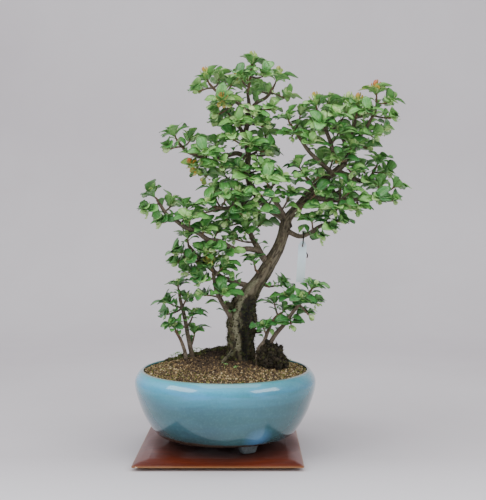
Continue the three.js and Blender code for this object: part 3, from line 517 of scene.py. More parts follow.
bm = bmesh.new()
for turn in FOOT_TURNS:
    foot = bmesh.ops.create_cube(bm, size=1)["verts"]
    for vertex in foot:
        low = vertex.co.z < 0
        vertex.co.x *= FOOT_WIDTH * (0.66 if low else 1)
        vertex.co.y = (75 if vertex.co.y > 0 else 75 - FOOT_DEPTH) - (3 if low and vertex.co.y > 0 else 0)
        vertex.co.z = FOOT_SOLE if low else FOOT_TOP
    edges = list({edge for vertex in foot for edge in vertex.link_edges})
    rounded = bmesh.ops.bevel(bm, geom=edges, offset=3.4, offset_type="OFFSET", segments=5, profile=0.5,
                              affect="EDGES", material=-1)["verts"]
    turned = Matrix.Translation(BOWL_CENTRE) @ Matrix.Rotation(turn - pi / 2, 4, "Z")
    bmesh.ops.transform(bm, matrix=turned, verts=list({v for v in rounded} | {v for v in foot if v.is_valid}))
clay_finish = grainy("bare_clay", 0.8, 800, 5, 0.0004, 0.6, (0.3, 72, 80, 82), (0.7, 112, 122, 126))
hand_over("bowl_feet", closed_mesh("bowl_feet", bm), clay_finish, "glaze", "pot")

# %% [markdown]
# ## Soil
# Bonsai soil is hard baked grains, sifted to about two millimetres, heaped higher than the
# rim behind the trunk. Grains alone could fill the bowl, but almost all of them would be
# hidden. So a spun body fills it, and grains lie only on top. The top follows a formula for
# the mound, which the grains, the seedlings and the moss read too, so all of them sit on it.

# %% Model the body of the soil
SOIL_RADIUS, SOIL_EDGE, SOIL_DIP, MOUND = 103, 99.6, 0.9, 13
SOIL_RISES = [(8, 28, 11, 26), (-34, -6, 5, 18)]  # x, y, height and spread


def soil_height(x, y):
    """The height of the soil at a place: a mound over the whole bowl and two rises."""
    out = hypot(x - BOWL_CENTRE.x, y) / SOIL_RADIUS
    rises = sum(height * exp(-((x - cx) ** 2 + (y - cy) ** 2) / (2 * spread ** 2))
                for cx, cy, height, spread in SOIL_RISES)
    base = SOIL_EDGE - SOIL_DIP * y / SOIL_RADIUS
    return base + MOUND * max(1 - out * out, 0) + rises * max(min(2 - 2 * out, 1), 0)


soil_wall = [(0, 30.3), (78.5, 30.4), (92.4, 44.4), (102.4, 65), (106.2, 88), (103.9, 97)]
soil_top = [(SOIL_RADIUS * (1 - i / 40), SOIL_EDGE + 1) for i in range(41)]
bm = spin_section(soil_wall + soil_top, 120, False)
bmesh.ops.remove_doubles(bm, verts=bm.verts, dist=0.01)
for vertex in bm.verts:
    if vertex.co.z > SOIL_EDGE:
        vertex.co.z = soil_height(vertex.co.x, vertex.co.y) + 0.9 * noise.noise(vertex.co / 4) - 0.5
soil_mesh = closed_mesh("soil_body", bm)

ground = grainy("soil_between_grains", 0.95, 520, 5, 0.0012, 0.9, (0.3, 38, 30, 22), (0.55, 70, 54, 38),
                (0.75, 104, 82, 56))
hand_over("soil_body", soil_mesh, ground, "soil", "soil")

# %% [markdown]
# Particles could scatter the grains. Here one small icosphere of twenty faces is copied
# into a mesh over and over, squashed, turned and half sunk in the mound. Each grain keeps
# a tone, because baked clay, pumice and bits of old moss lie mixed: darker by the trunk,
# paler further out, and greener toward the rim.

# %% Scatter the grains
draws = np.random.default_rng(7)
bm = bmesh.new()
bmesh.ops.create_icosphere(bm, subdivisions=1, radius=1)
GRAIN = plain_mesh("grain", bm)
GRAIN_CORNERS = len(GRAIN.vertices)


def scatter(places, sizes, flat=0.75, seed=GRAIN, ways=None):
    """A bmesh with one copy of a small seed mesh at each place, turned at random or to its way."""
    bm = bmesh.new()
    for number, (place, size) in enumerate(zip(places, sizes)):
        way = Vector(draws.normal(size=3) if ways is None else ways[number])
        turn = way.to_track_quat("Z", "Y").to_matrix().to_4x4()
        wide, deep = draws.uniform(0.8, 1.3), draws.uniform(0.8, 1.2)
        stretch = Matrix.Diagonal((size * wide, size * deep, size * flat, 1))
        copy = seed.copy()
        copy.transform(Matrix.Translation(place) @ turn @ stretch)
        bm.from_mesh(copy)
        bpy.data.meshes.remove(copy)
    return bm


def clamp(value):
    """The value, held between 0 and 1."""
    return min(max(value, 0), 1)


def set_values(mesh, name, values):
    """Keeps one number for each vertex, for a finish to read."""
    attribute = mesh.attributes.get(name) or mesh.attributes.new(name, "FLOAT", "POINT")
    attribute.data.foreach_set("value", np.asarray(values, np.float32))


GRAINS = 9400
TRUNK_FOOT, TRUNK_RADIUS = (25, 0), 13
places, tones = [], []
while len(places) < GRAINS:
    out, turn = SOIL_RADIUS * sqrt(draws.random()), 2 * pi * draws.random()
    x, y = BOWL_CENTRE.x + out * cos(turn), out * sin(turn)
    if hypot(x - TRUNK_FOOT[0], y - TRUNK_FOOT[1]) < TRUNK_RADIUS:
        continue
    places.append(Vector((x, y, soil_height(x, y) + draws.uniform(-0.6, 0.7))))
    green = 0.34 * max(out / SOIL_RADIUS - 0.5, 0) / 0.5
    near = exp(-((x - TRUNK_FOOT[0] + 14) ** 2 + (y - TRUNK_FOOT[1]) ** 2) / 2200)
    drift = 0.3 * noise.noise(Vector((x, y, 0)) / 11) + 0.2 * noise.noise(Vector((x, y, 40)) / 28)
    drift += 0.24 * out / SOIL_RADIUS - 0.75 * near
    tones.append(1 + draws.random() if draws.random() < green else clamp(draws.random() ** 1.3 + drift))
sizes = draws.uniform(0.45, 1.1, GRAINS) * np.where(draws.random(GRAINS) < 0.08, 1.6, 1)
grain_mesh = to_mesh("soil_grains", scatter(places, sizes))
set_values(grain_mesh, "tone", np.repeat(tones, GRAIN_CORNERS))
print(GRAINS, "grains,", sum(tone > 1 for tone in tones), "of them mossy")

# %% [markdown]
# A tone from 0 to 1 runs from damp brown to pale pumice, and one from 1 to 2 is mossy. One
# finish reads both ranges from the same number, so all grains stay a single piece. A finish
# for each kind would do too, but would cut the soil into many pieces.

# %% Colour the grains
grit = Finish("baked_clay_grains", Roughness=0.92)
tone = grit.attribute("tone")
brown = grit.ramp(tone, (0.0, 50, 38, 28), (0.3, 98, 78, 54), (0.6, 148, 124, 86),
                  (0.84, 172, 146, 102), (0.95, 194, 168, 120), (1.0, 214, 196, 152))
mossy = grit.ramp(grit.math("SUBTRACT", tone, 1.0), (0.0, 58, 62, 26), (0.6, 104, 106, 48),
                  (1.0, 160, 154, 78))
rough = grit.noise(1500, 3)
tint = grit.mix(grit.level(tone, 1.0, 1.001), brown, mossy)
tint = grit.mix(grit.level(rough, 0.4, 0.7, 0, 0.5), tint, (50, 40, 30))
grit.show(tint, None, rough, 0.0005, 0.8)
hand_over("soil_grains", grain_mesh, grit, "soil", "soil")

# %% [markdown]
# ## Growing round wood
# Wood is a round section carried along a bent line, getting thinner. A curve with a bevel
# makes such a tube too, but then its relief is out of reach. So the line is first cut into
# rings, each with its centre, its directions and its radius.

# %% Rings along a line
UP = np.array((0.0, 0.0, 1.0))
DEPTH = np.array((0.0, 1.0, 0.0))


def unit(vector):
    return vector / sqrt(vector @ vector)


def cross(a, b):
    return np.array((a[1] * b[2] - a[2] * b[1], a[2] * b[0] - a[0] * b[2], a[0] * b[1] - a[1] * b[0]))


def ring_at(wood, share):
    """The wood's centre at share of its length, its three directions there and its radius."""
    points = np.array([point[:3] for point in wood], float)
    reach = min(share, 0.9999) * (len(wood) - 1)
    below = int(reach)
    radius = wood[below][3] + (wood[below + 1][3] - wood[below][3]) * (reach - below)
    along = unit(curve_through(points, min(share + 0.01, 1)) - curve_through(points, max(share - 0.01, 0)))
    guide = UP if abs(along @ DEPTH) > 0.9 else DEPTH
    across = unit(cross(guide, along))
    return {"centre": curve_through(points, share), "along": along, "across": across,
            "out": cross(across, along), "radius": radius}


def rings_along(wood, steps):
    return [ring_at(wood, step / steps) for step in range(steps + 1)]


def outward(ring, turn):
    """The direction out of the wood at a turn round a ring."""
    return sin(turn) * ring["across"] + cos(turn) * ring["out"]


rod = [(0, 0, 0, 5), (0, 0, 50, 3)]
print("halfway up a rod that thins from 5 mm to 3 mm its radius is", ring_at(rod, 0.5)["radius"])

# %% [markdown]
# Bridging the rings would do, but the ends would stay open. So a disc's face is extruded
# again and again, each time moved to the next ring. Every vertex keeps its turn round the
# section in a layer, which places it, and bark's relief can be added at the same time.

# %% Grow a tube
def grow_tube(bm, rings, sides, relief=lambda turn, height: 0):
    """A closed tube: a disc is extruded from each ring to the next."""
    turn_of = bm.verts.layers.float.get("turn") or bm.verts.layers.float.new("turn")
    disc = bmesh.ops.create_circle(bm, cap_ends=True, segments=sides, radius=1)["verts"]
    for i, vertex in enumerate(disc):
        vertex[turn_of] = 2 * pi * i / sides
    cap = disc[0].link_faces[0]
    grown = set(disc)
    for step, ring in enumerate(rings):
        if step:
            cap = picked(bmesh.ops.extrude_face_region(bm, geom=[cap])["geom"], BMFace)[0]
        for vertex in cap.verts:
            turn = vertex[turn_of]
            radius = ring["radius"] + relief(turn, ring["centre"][2])
            vertex.co = ring["centre"] + radius * outward(ring, turn)
        grown.update(cap.verts)
    return list(grown)


trial = bmesh.new()
print("the rod's tube has", len(grow_tube(trial, rings_along(rod, 10), 8)), "corners")
trial.free()

# %% [markdown]
# ## Trunk and limbs
# The trunk is old, short and swollen at its foot. It was cut back long ago, which left a
# chopped shoulder and a stub, and it leans to the right and forks. Sculpting could make it
# from one lump. Lines measured on the picture place it better: each part is a tube, the
# tubes run into each other, and a voxel remesh melts them into one skin, as the wood grew
# together.

# %% Draw the wood
# each point is x, y, z and radius
TRUNK = [(25, 0, 66, 9), (25, 0, 92, 15), (25, 0, 112, 17.5), (25, 0, 131, 16.5), (26, 0, 148, 17),
         (27, 0, 163, 18.5), (29, 0, 181, 16.5), (35, 0, 194, 12.5), (45, -1, 208, 9.4), (54, -2, 221, 8.8),
         (63, -2, 237, 8.4), (72, -1, 252, 7.4), (78, 0, 268, 7), (82, 0, 283, 7.2), (84, 0, 294, 6.2)]
RIGHT_LIMB = [(80, 0, 280, 6.2), (84, -1, 291, 6.2), (91, -3, 300, 5.6), (99, -5, 309, 5.2),
              (113, -6, 324, 5.2), (132, -4, 342, 4.7), (148, 0, 354, 4.2), (157, 3, 363, 3.8),
              (166, 6, 380, 3.3), (168, 6, 396, 2.9), (170, 4, 410, 2.4), (172, 2, 419, 1.9)]
LEFT_LIMB = [(86, 1, 280, 5.8), (83, 2, 289, 5.8), (76, 3, 296, 5.2), (65, 4, 303, 4.9), (56, 5, 311, 4.7),
             (45, 6, 324, 4.4), (37, 6, 338, 4.2), (34, 4, 354, 4), (35, 2, 377, 3.7), (32, 0, 401, 3.4),
             (35, 0, 418, 3), (36, -1, 437, 2.4), (34, -2, 452, 1.8)]
SURFACE_ROOT = [(20, -8, 128, 4.5), (13, -17, 122, 3.4), (5, -23, 115, 2.8), (-3, -28, 105, 2)]
STUB = [(36, -4, 147, 4), (52, -7, 150, 2.4)]
SHOULDER = [(26, -2, 168, 13), (13, -3, 180, 5), (5, -3, 187, 2.2)]


def smoothstep(value, low, high):
    """Goes from 0 to 1 while the value goes from low to high, slowly at both ends."""
    share = clamp((value - low) / (high - low))
    return share * share * (3 - 2 * share)


def bark(turn, height):
    """Long ridges up the trunk and lumps on its swollen foot, none under the soil."""
    lumpy = 1 - smoothstep(height, 185, 215)
    ridges = 0.9 * sin(3 * turn + height / 31) + 0.6 * sin(5 * turn - height / 17)
    lumps = 1.1 * sin(2 * turn + height / 7) * sin(height / 5.3 + turn)
    return smoothstep(height, 112, 128) * (ridges * (0.3 + 0.7 * lumpy) + lumps * lumpy)


bm = bmesh.new()
grow_tube(bm, rings_along(TRUNK, 90), 40, bark)
for wood, steps, sides in ((RIGHT_LIMB, 60, 18), (LEFT_LIMB, 60, 18), (SURFACE_ROOT, 20, 14), (STUB, 8, 14),
                           (SHOULDER, 10, 22)):
    grow_tube(bm, rings_along(wood, steps), sides)
rough_wood = add_object("rough_wood", closed_mesh("rough_wood", bm))
melt = rough_wood.modifiers.new("melt", "REMESH")
melt.mode = "VOXEL"
melt.voxel_size = 0.85 * MM
melt.use_smooth_shade = True
trunk_mesh = bpy.data.meshes.new_from_object(rough_wood.evaluated_get(bpy.context.evaluated_depsgraph_get()))
bpy.data.objects.remove(rough_wood)
print("trunk", len(trunk_mesh.polygons), "faces")

# %% [markdown]
# The bark is old and cracked. A plain noise would crack it in all directions, but fissures
# run along the wood. So their noise is read from the turn round the nearest centre line and
# the way along it. The foot has a hollow down its front and ridges beside it.

# %% Draw fissures and ridges
centres = []
# each wood counts its length from another number, so that no two have the same cracks
for start, wood in ((0.001, TRUNK), (60.001, RIGHT_LIMB), (120.001, LEFT_LIMB)):
    rings = rings_along(wood, 120)
    steps = [float(np.linalg.norm(two["centre"] - one["centre"])) for one, two in zip(rings, rings[1:])]
    centres += zip(rings, np.cumsum([start, *steps]).tolist())
tree = KDTree(len(centres))
for number, (ring, run) in enumerate(centres):
    tree.insert(ring["centre"], number)
tree.balance()

# height, x and half width of a hollow down the front, of a ridge on its left and one on its right
GROOVE = ((116, 32, 3.5), (150, 31, 4.5), (166, 33, 7.5), (182, 35, 7.5), (194, 37, 4))
RIDGE = ((126, 23, 4), (140, 22.4, 5), (152, 19.2, 4.6), (167, 18.4, 4), (186, 24.7, 4.4), (203, 36, 5),
         (217, 48, 5))
STRIP = ((108, 40.5, 2.2), (134, 39.5, 2.2))


def down_front(spot, line):
    """How close a spot is to a line drawn down the front of the foot, from 0 to 1."""
    heights, places, widths = zip(*line)
    off = (spot[0] - np.interp(spot[2], heights, places)) / np.interp(spot[2], heights, widths)
    ends = smoothstep(spot[2], heights[0] - 4, heights[0] + 4)
    ends *= 1 - smoothstep(spot[2], heights[-1] - 6, heights[-1] + 4)
    return exp(-off * off) * smoothstep(-spot[1], 2, 8) * ends


def fissures(turn, run):
    """Cracks that run along the wood: low where the noise passes through nothing."""
    crack = abs(noise.noise(Vector((2.4 * cos(turn), 2.4 * sin(turn), run / 15))))
    return crack + 0.5 * abs(noise.noise(Vector((5 * cos(turn), 5 * sin(turn), run / 7 + 9))))


print(len(centres), "rings to read the bark from")

# %% [markdown]
# Bump in the finish would shade cracks without cutting them, and the outline would stay
# smooth, so the fine skin itself is moved along its normals, with lumps on the foot. The
# depth is kept for the finish: the cracks are darker, the hollow down the front is painted
# darker as shade, and lichen lies on the ridges.

# %% Carve the bark
def read_all(items, key):
    """The vectors that the items of a mesh keep under the key, one row each."""
    found = np.empty(3 * len(items), np.float32)
    items.foreach_get(key, found)
    return found.reshape(-1, 3).astype(float)


spots, facing = read_all(trunk_mesh.vertices, "co") / MM, read_all(trunk_mesh.vertex_normals, "vector")
reliefs, burls, crusts = [], [], []
for index, (spot, normal) in enumerate(zip(spots, facing)):
    ring, run = centres[tree.find(spot)[1]]
    off = spot - ring["centre"]
    crack = fissures(atan2(off @ ring["across"], off @ ring["out"]), run)
    where = Vector(spot)
    aside = hypot(spot[0] - TRUNK_FOOT[0], spot[1] - TRUNK_FOOT[1])
    burl = (1 - smoothstep(spot[2], 176, 206)) * (1 - 0.7 * smoothstep(aside, 23, 32))
    fine = noise.noise(where / 1.6) + 0.5 * noise.noise(where / 0.8)
    lump = noise.noise(where / 8) + 0.6 * noise.noise(where / 3.6)
    depth = min(0.35 + 0.075 * ring["radius"], 1.3)
    carve = depth * (1.5 * min(crack, 0.45) - 0.35) + 0.14 * fine + 1.5 * burl * lump
    groove = down_front(spot, GROOVE)
    ridge = max(down_front(spot, RIDGE), 0.8 * down_front(spot, STRIP))
    carve += 1.7 * ridge - 4.6 * groove
    spots[index] = spot + normal * carve * smoothstep(spot[2], 100, 112)
    # the hollow down the front lowers the relief, so the finish paints it darker as shade
    reliefs.append(min(crack / 0.45, 1) + 0.2 * fine + 0.35 * burl * lump + 0.3 * ridge - 0.9 * groove)
    burls.append(max(burl, 0.85 * (1 - smoothstep(spot[2], 118, 132))))
    crusts.append(ridge)
trunk_mesh.vertices.foreach_set("co", (spots * MM).astype(np.float32).ravel())
trunk_mesh.update()
for name, values in (("relief", reliefs), ("burl", burls), ("crust", crusts)):
    set_values(trunk_mesh, name, values)
    print(name, "from", round(min(values), 2), "to", round(max(values), 2))

# %% [markdown]
# Lichen grows where light reaches, in grey-green crusts down one ridge of the foot and in
# specks above. The foot is dark and damp and carries moss in its cracks. Painting it by hand
# would need a flat map of the bark. The depths kept while carving say where each belongs.

# %% Colour the bark
skin = Finish("old_bark", Roughness=0.85)
relief = skin.attribute("relief")
burl = skin.attribute("burl")
patch = skin.noise(95, 5, distortion=0.5)
fleck = skin.noise(620, 4)
tint = skin.ramp(relief, (0.05, 36, 31, 24), (0.35, 62, 55, 43), (0.62, 80, 72, 57),
                 (0.95, 106, 98, 80))
tint = skin.mix(skin.level(patch, 0.45, 0.7, 0, 0.5), tint, (98, 84, 58))
damp = skin.ramp(relief, (0.0, 9, 7, 5), (0.35, 25, 20, 14), (0.65, 48, 41, 28),
                 (1.0, 78, 70, 48))
tint = skin.mix(skin.times(burl, 0.9), tint, damp)
green = skin.times(burl, skin.level(skin.noise(150, 4), 0.52, 0.66, 0, 0.7))
tint = skin.mix(green, tint, (52, 62, 26))
lichen = skin.times(skin.level(patch, 0.56, 0.64), skin.level(relief, 0.3, 0.7, 0, 0.5))
torn = skin.level(skin.noise(210, 8, roughness=0.75), 0.3, 0.7, -0.6, 0.3)
on_ridge = skin.level(skin.plus(skin.attribute("crust"), torn), 0.4, 0.6, 0, 0.85)
lichen = skin.math("MAXIMUM", lichen, on_ridge)
left_flank = skin.times(burl, skin.level(skin.axis("X"), 0.022, 0.012, 0, 0.6))
left_flank = skin.times(left_flank, skin.level(skin.noise(310, 7, roughness=0.7), 0.5, 0.6))
tint = skin.mix(left_flank, tint, (108, 114, 76))
crust = skin.ramp(fleck, (0.35, 90, 90, 68), (0.6, 138, 136, 110), (0.8, 184, 182, 158))
tint = skin.mix(lichen, tint, crust)
skin.show(tint, None, fleck, 0.0004, 0.9)
hand_over("trunk_and_limbs", trunk_mesh, skin, "bark", "trunk")

# %% [markdown]
# ## Branches and suckers
# A quince flowers and leafs on short spurs. A tree generator could grow branches by a rule,
# but this tree has its own, and its outline depends on them. So each is listed by the line
# of its wood with the radius at each point, the tips of its spurs with the number of leaves
# on each, and the usual length of a leaf there. The solids have the same lines and tips. The
# first spur carries the wood on.

# %% List the stems
# name: usual leaf, wood as x, y, z, radius, and tips as x, y, z, leaves
STEMS = {
    "upright_left_branch": (21, [(60, -3, 236, 4.2), (52, -4, 246, 3.8), (46, 2, 257, 3.3), (40, 8, 268, 3),
     (35, 14, 280, 2.6), (28, 18, 293, 2.2)],
     [(24, 20, 301, 4), (32, -4, 276, 4), (12, 22, 283, 3), (50, 24, 284, 3), (19, 0, 266, 3)]),
    "long_left_branch": (20, [(51, -4, 250, 3.2), (37, -10, 254, 3), (21, -14, 253, 2.9), (11, -17, 257, 2.8),
     (-1, -20, 264, 2.8), (-15, -22, 266, 2.7), (-31, -22, 277, 2.6), (-43, -20, 281, 2.5),
     (-56, -17, 290, 2.4), (-66, -15, 296, 2.2), (-74, -12, 307, 1.9), (-80, -9, 316, 1.5)],
     [(-85, -8, 321, 4), (-90, -12, 302, 4), (-72, -20, 287, 3), (-62, -2, 309, 3), (-42, -12, 306, 4),
     (-37, -32, 290, 3), (-20, -30, 276, 3), (-3, -8, 276, 3), (-5, -27, 254, 2), (11, -18, 247, 2)]),
    "lower_left_branch": (20, [(42, 0, 205, 3.6), (28, -2, 209, 3.1), (14, -6, 213, 2.8), (1, -10, 219, 2.5),
     (-14, -13, 231, 2.3), (-29, -14, 245, 2), (-40, -12, 258, 1.7)],
     [(-41, -12, 269, 4), (-50, -16, 249, 4), (-54, -4, 236, 3), (-34, -23, 238, 3), (-40, -10, 224, 3),
     (-18, -22, 247, 3), (-10, -2, 238, 3)]),
    "trunk_sucker": (22, [(20, -8, 159, 3), (11, -12, 172, 2.6), (3, -15, 186, 2.3), (-4, -17, 200, 2.1),
     (-7, -18, 213, 1.8), (-9, -18, 224, 1.4)],
     [(-12, -20, 231, 4), (4, -24, 232, 3), (-22, -22, 214, 3), (-20, -17, 196, 2), (4, -24, 197, 3)]),
    "tag_branch": (19, [(84, -2, 277, 3), (99, -10, 270, 2.6), (110, -14, 273, 2.3), (122, -17, 281, 2),
     (135, -18, 287, 1.6)],
     [(150, -20, 288, 3), (138, -19, 279, 4), (125, -16, 268, 4), (114, -24, 289, 3), (138, -8, 298, 3)]),
    "mid_left_branch": (20, [(35, 3, 367, 2.9), (22, -4, 375, 2.6), (7, -10, 371, 2.4), (-9, -14, 365, 2.1),
     (-26, -14, 370, 1.9), (-42, -11, 377, 1.7), (-54, -8, 389, 1.4)],
     [(-58, -6, 398, 5), (-62, -14, 380, 4), (-39, 2, 393, 4), (-29, -23, 355, 3), (-18, -30, 370, 4),
     (-6, -2, 387, 3), (2, -26, 355, 3), (-20, 2, 346, 3)]),
    "crown_left_branch": (19, [(35, -1, 425, 2.6), (25, -8, 436, 2.3), (11, -12, 444, 2), (-4, -12, 452, 1.7),
     (-14, -10, 462, 1.4)],
     [(-17, -10, 468, 4), (-27, -16, 451, 3), (3, -28, 436, 4), (14, -8, 461, 4), (-2, -10, 424, 3),
     (-3, 8, 471, 3)]),
    "crown_right_branch": (19, [(36, 0, 429, 2.4), (46, 8, 441, 2.1), (59, 12, 449, 1.8), (67, 12, 461, 1.5)],
     [(72, 12, 473, 4), (81, 8, 447, 3), (63, -6, 430, 4), (53, 28, 458, 3)]),
    "crown_back_branch": (20, [(32, 1, 393, 2.6), (24, 16, 410, 2.2), (14, 26, 424, 1.8), (6, 30, 435, 1.4)],
     [(2, 34, 444, 4), (20, 42, 419, 3), (-2, 18, 416, 3)]),
    "centre_back_branch": (21, [(45, 6, 325, 2.8), (32, 22, 330, 2.4), (19, 34, 335, 2), (8, 40, 346, 1.6)],
     [(2, 44, 354, 3), (19, 22, 356, 3), (12, 48, 322, 3), (34, 40, 309, 3)]),
    "centre_left_branch": (21, [(54, 5, 312, 3.2), (37, -6, 312, 2.8), (22, -16, 308, 2.4),
     (7, -24, 305, 2.1), (-5, -28, 306, 1.7)],
     [(-11, -32, 310, 4), (-22, -20, 299, 4), (8, -40, 317, 4), (22, -30, 322, 3), (8, -20, 290, 3),
     (27, -34, 297, 3), (-8, -12, 328, 3)]),
    "centre_front_branch": (22, [(82, -2, 294, 3), (70, -16, 312, 2.6), (62, -26, 324, 2.2),
     (59, -30, 332, 1.8)],
     [(58, -38, 336, 5), (76, -24, 340, 4), (50, -44, 320, 3), (87, -22, 322, 3), (48, -30, 300, 4)]),
    "right_back_branch": (21, [(123, -5, 332, 3), (130, 14, 335, 2.6), (142, 32, 330, 2.2),
     (157, 44, 323, 1.8)],
     [(163, 50, 318, 3), (146, 42, 345, 3), (129, 36, 317, 3), (169, 34, 338, 2)]),
    "right_low_branch": (20, [(109, -6, 320, 3.4), (125, -14, 317, 2.8), (140, -20, 315, 2.5),
     (158, -22, 315, 2.2), (182, -20, 317, 1.9), (199, -16, 321, 1.6), (209, -14, 327, 1.3)],
     [(219, -14, 332, 3), (216, -17, 314, 2), (199, -8, 332, 3), (195, -25, 314, 3), (171, -26, 303, 4),
     (161, -32, 326, 4), (144, -32, 302, 4), (126, -28, 303, 4), (150, -20, 331, 4)]),
    "right_up_branch": (20, [(149, 0, 353, 2.8), (168, 10, 345, 2.4), (184, 14, 341, 2.1),
     (193, 14, 347, 1.8), (199, 12, 358, 1.4)],
     [(202, 12, 366, 4), (212, 14, 350, 4), (183, 22, 357, 3), (187, 2, 336, 3)]),
    "crown_far_left_branch": (19, [(143, -2, 349, 2.8), (127, -10, 362, 2.5), (111, -14, 377, 2.1),
     (98, -14, 396, 1.7), (88, -12, 411, 1.4)],
     [(85, -12, 418, 4), (90, -18, 395, 3), (101, -6, 426, 4), (112, -30, 384, 4), (106, 6, 408, 3)]),
    "crown_mid_branch": (21, [(156, 3, 362, 3), (143, -8, 376, 2.6), (136, -16, 394, 2.2),
     (127, -20, 413, 1.8), (122, -20, 425, 1.5)],
     [(120, -20, 433, 5), (137, -10, 438, 4), (124, -34, 404, 4), (142, -30, 418, 4), (148, -24, 399, 3)]),
    "crown_far_right_branch": (20, [(167, 6, 384, 2.6), (178, 2, 398, 2.3), (189, -4, 415, 1.9),
     (197, -6, 432, 1.5), (197, -6, 444, 1.2)],
     [(197, -6, 451, 4), (210, -8, 438, 4), (215, -10, 419, 4), (209, 6, 406, 3), (183, -20, 424, 4),
     (192, -6, 396, 3)]),
    "crown_rear_branch": (21, [(160, 4, 367, 2.8), (161, 20, 387, 2.4), (156, 34, 406, 2),
     (149, 42, 423, 1.6)],
     [(148, 47, 433, 3), (165, 34, 442, 3), (174, 40, 410, 3), (137, 46, 408, 3)]),
    "left_limb_top_spray": (20, [(34, -2, 452.6, 1.6), (37, -3, 466, 1.4), (39, -4, 480, 1.1)],
     [(40, -4, 488, 5), (53, -18, 470, 5), (26, -20, 468, 4), (34, 16, 472, 4)]),
    "left_limb_high_spray": (20, [(34, -1, 411, 1.9), (34, -14, 413, 1.6)],
     [(41, -27, 419, 3), (24, -26, 408, 2), (54, -14, 408, 3)]),
    "left_limb_mid_spray": (21, [(34, 2, 384, 1.9), (32, -14, 386, 1.6)],
     [(37, -29, 382, 3), (16, -24, 391, 3), (55, -14, 376, 2)]),
    "left_limb_rear_spray": (21, [(35, 3, 371, 1.9), (45, 18, 378, 1.6)],
     [(45, 34, 384, 3), (61, 20, 376, 2), (58, 24, 401, 2)]),
    "left_limb_low_spray": (21, [(35, 5, 350, 1.9), (38, -12, 350, 1.6)],
     [(26, -22, 350, 3), (52, -24, 353, 3), (40, -28, 340, 2)]),
    "right_limb_low_spray": (20, [(99, -5, 309, 1.9), (106, -20, 311, 1.6)],
     [(100, -26, 303, 2), (118, -30, 322, 2)]),
    "right_limb_left_spray": (19, [(119, -6, 330, 1.9), (110, -14, 342, 1.6)],
     [(98, -15, 358, 2), (106, -22, 344, 2), (124, -14, 345, 1)]),
    "right_limb_front_spray": (21, [(157, 3, 364, 1.9), (158, -14, 366, 1.6)],
     [(150, -24, 363, 3), (163, -20, 350, 2), (164, -18, 381, 3)]),
    "right_limb_rear_spray": (21, [(140, -2, 348, 1.9), (136, 14, 356, 1.6)],
     [(130, 22, 364, 3), (146, 30, 370, 3)]),
    "right_limb_side_spray": (20, [(167, 6, 390, 1.9), (177, 20, 390, 1.6)],
     [(174, 28, 380, 3), (189, 22, 384, 2)]),
    "right_limb_top_spray": (20, [(172, 2, 419.6, 1.6), (173, 1, 426, 1.3)],
     [(174, -4, 435, 4), (182, 16, 424, 3), (160, 8, 428, 2)]),
    "trunk_left_spray": (15, [(52, -3, 219, 1.6), (44, -10, 228, 1.4)],
     [(41, -12, 240, 4)]),
    "trunk_right_spray": (18, [(48, -1, 211, 1.8), (62, -5, 206, 1.5)],
     [(78, -7, 208, 4)]),
    "left_sucker": (17, [(-34, -6, 84, 2.8), (-35, -6, 104, 2.8), (-36, -6, 118, 2.4), (-41, -5, 142, 2.1),
     (-46, -4, 169, 1.8), (-51, -4, 189, 1.5), (-53, -4, 202, 1.2)],
     [(-54, -4, 208, 4), (-66, -8, 186, 3), (-43, -2, 190, 2), (-68, -6, 171, 3), (-35, -10, 173, 2),
     (-60, -17, 158, 3), (-33, -4, 149, 2)]),
    "left_sucker_twin": (15, [(-42, -10, 96, 1.9), (-44, -11, 121, 1.8), (-49, -14, 138, 1.5),
     (-55, -17, 150, 1.2)],
     [(-57, -19, 156, 3)]),
    "right_sucker": (19, [(54, -19, 90, 2.6), (56, -19, 112, 2.6), (58, -20, 126, 2.4), (67, -22, 145, 2.1),
     (80, -24, 161, 1.9), (92, -25, 178, 1.7), (105, -25, 193, 1.4), (113, -25, 203, 1.2)],
     [(116, -25, 207, 4), (118, -28, 187, 3), (110, -20, 172, 2), (88, -28, 161, 2), (86, -22, 194, 3),
     (100, -32, 192, 2)]),
    "right_sucker_short": (17, [(44, -27, 88, 2.2), (46, -26, 112, 2.2), (48, -26, 130, 2),
     (55, -24, 140, 1.8), (61, -20, 155, 1.5), (68, -16, 167, 1.3), (77, -14, 174, 1.1)],
     [(80, -12, 178, 3), (68, -8, 186, 3), (54, -28, 158, 2)]),
}
print(len(STEMS), "stems listed")

# %% [markdown]
# A spur starts on the side of the wood that looks at its tip. Its seat could be listed too,
# but it follows from the tip. The wood is treated as a square rod here: each stretch of each
# of its four faces is a possible seat, and the best free one is taken.

# %% Seat the spurs
SQUARE = 1.15  # a square rod's corners stand out this much from the round
SPUR_END = 1.1  # radius at the tip
SPUR_SEAT = 1.2  # half the side of the square it starts from
BUD = 1.8  # the length of a spur's end that the leaves grow from
QUARTERS = [j * pi / 2 for j in range(4)]


def wood_faces(path):
    """The four faces of each stretch of a branch, seen as a square rod."""
    rings = [[ring["centre"] + SQUARE * ring["radius"] * outward(ring, turn) for turn in QUARTERS]
             for ring in rings_along(path, len(path) - 1)]
    faces = []
    for one, two in zip(rings, rings[1:]):
        for j in range(4):
            corners = [one[j], one[(j + 1) % 4], two[(j + 1) % 4], two[j]]
            along = unit(corners[3] + corners[2] - corners[0] - corners[1])
            across = unit(corners[1] + corners[2] - corners[0] - corners[3])
            faces.append({"middle": sum(corners) / 4, "along": along, "across": across,
                          "normal": unit(cross(across, along)),
                          "width": dist(corners[0], corners[1])})
    return rings, faces


def seat_score(face, tip):
    """How well a face looks at a tip: straight out and near is best."""
    way = tip - face["middle"]
    far = sqrt(way @ way)
    return (way @ face["normal"] + 0.3 * (way @ face["along"])) / far - far / 30


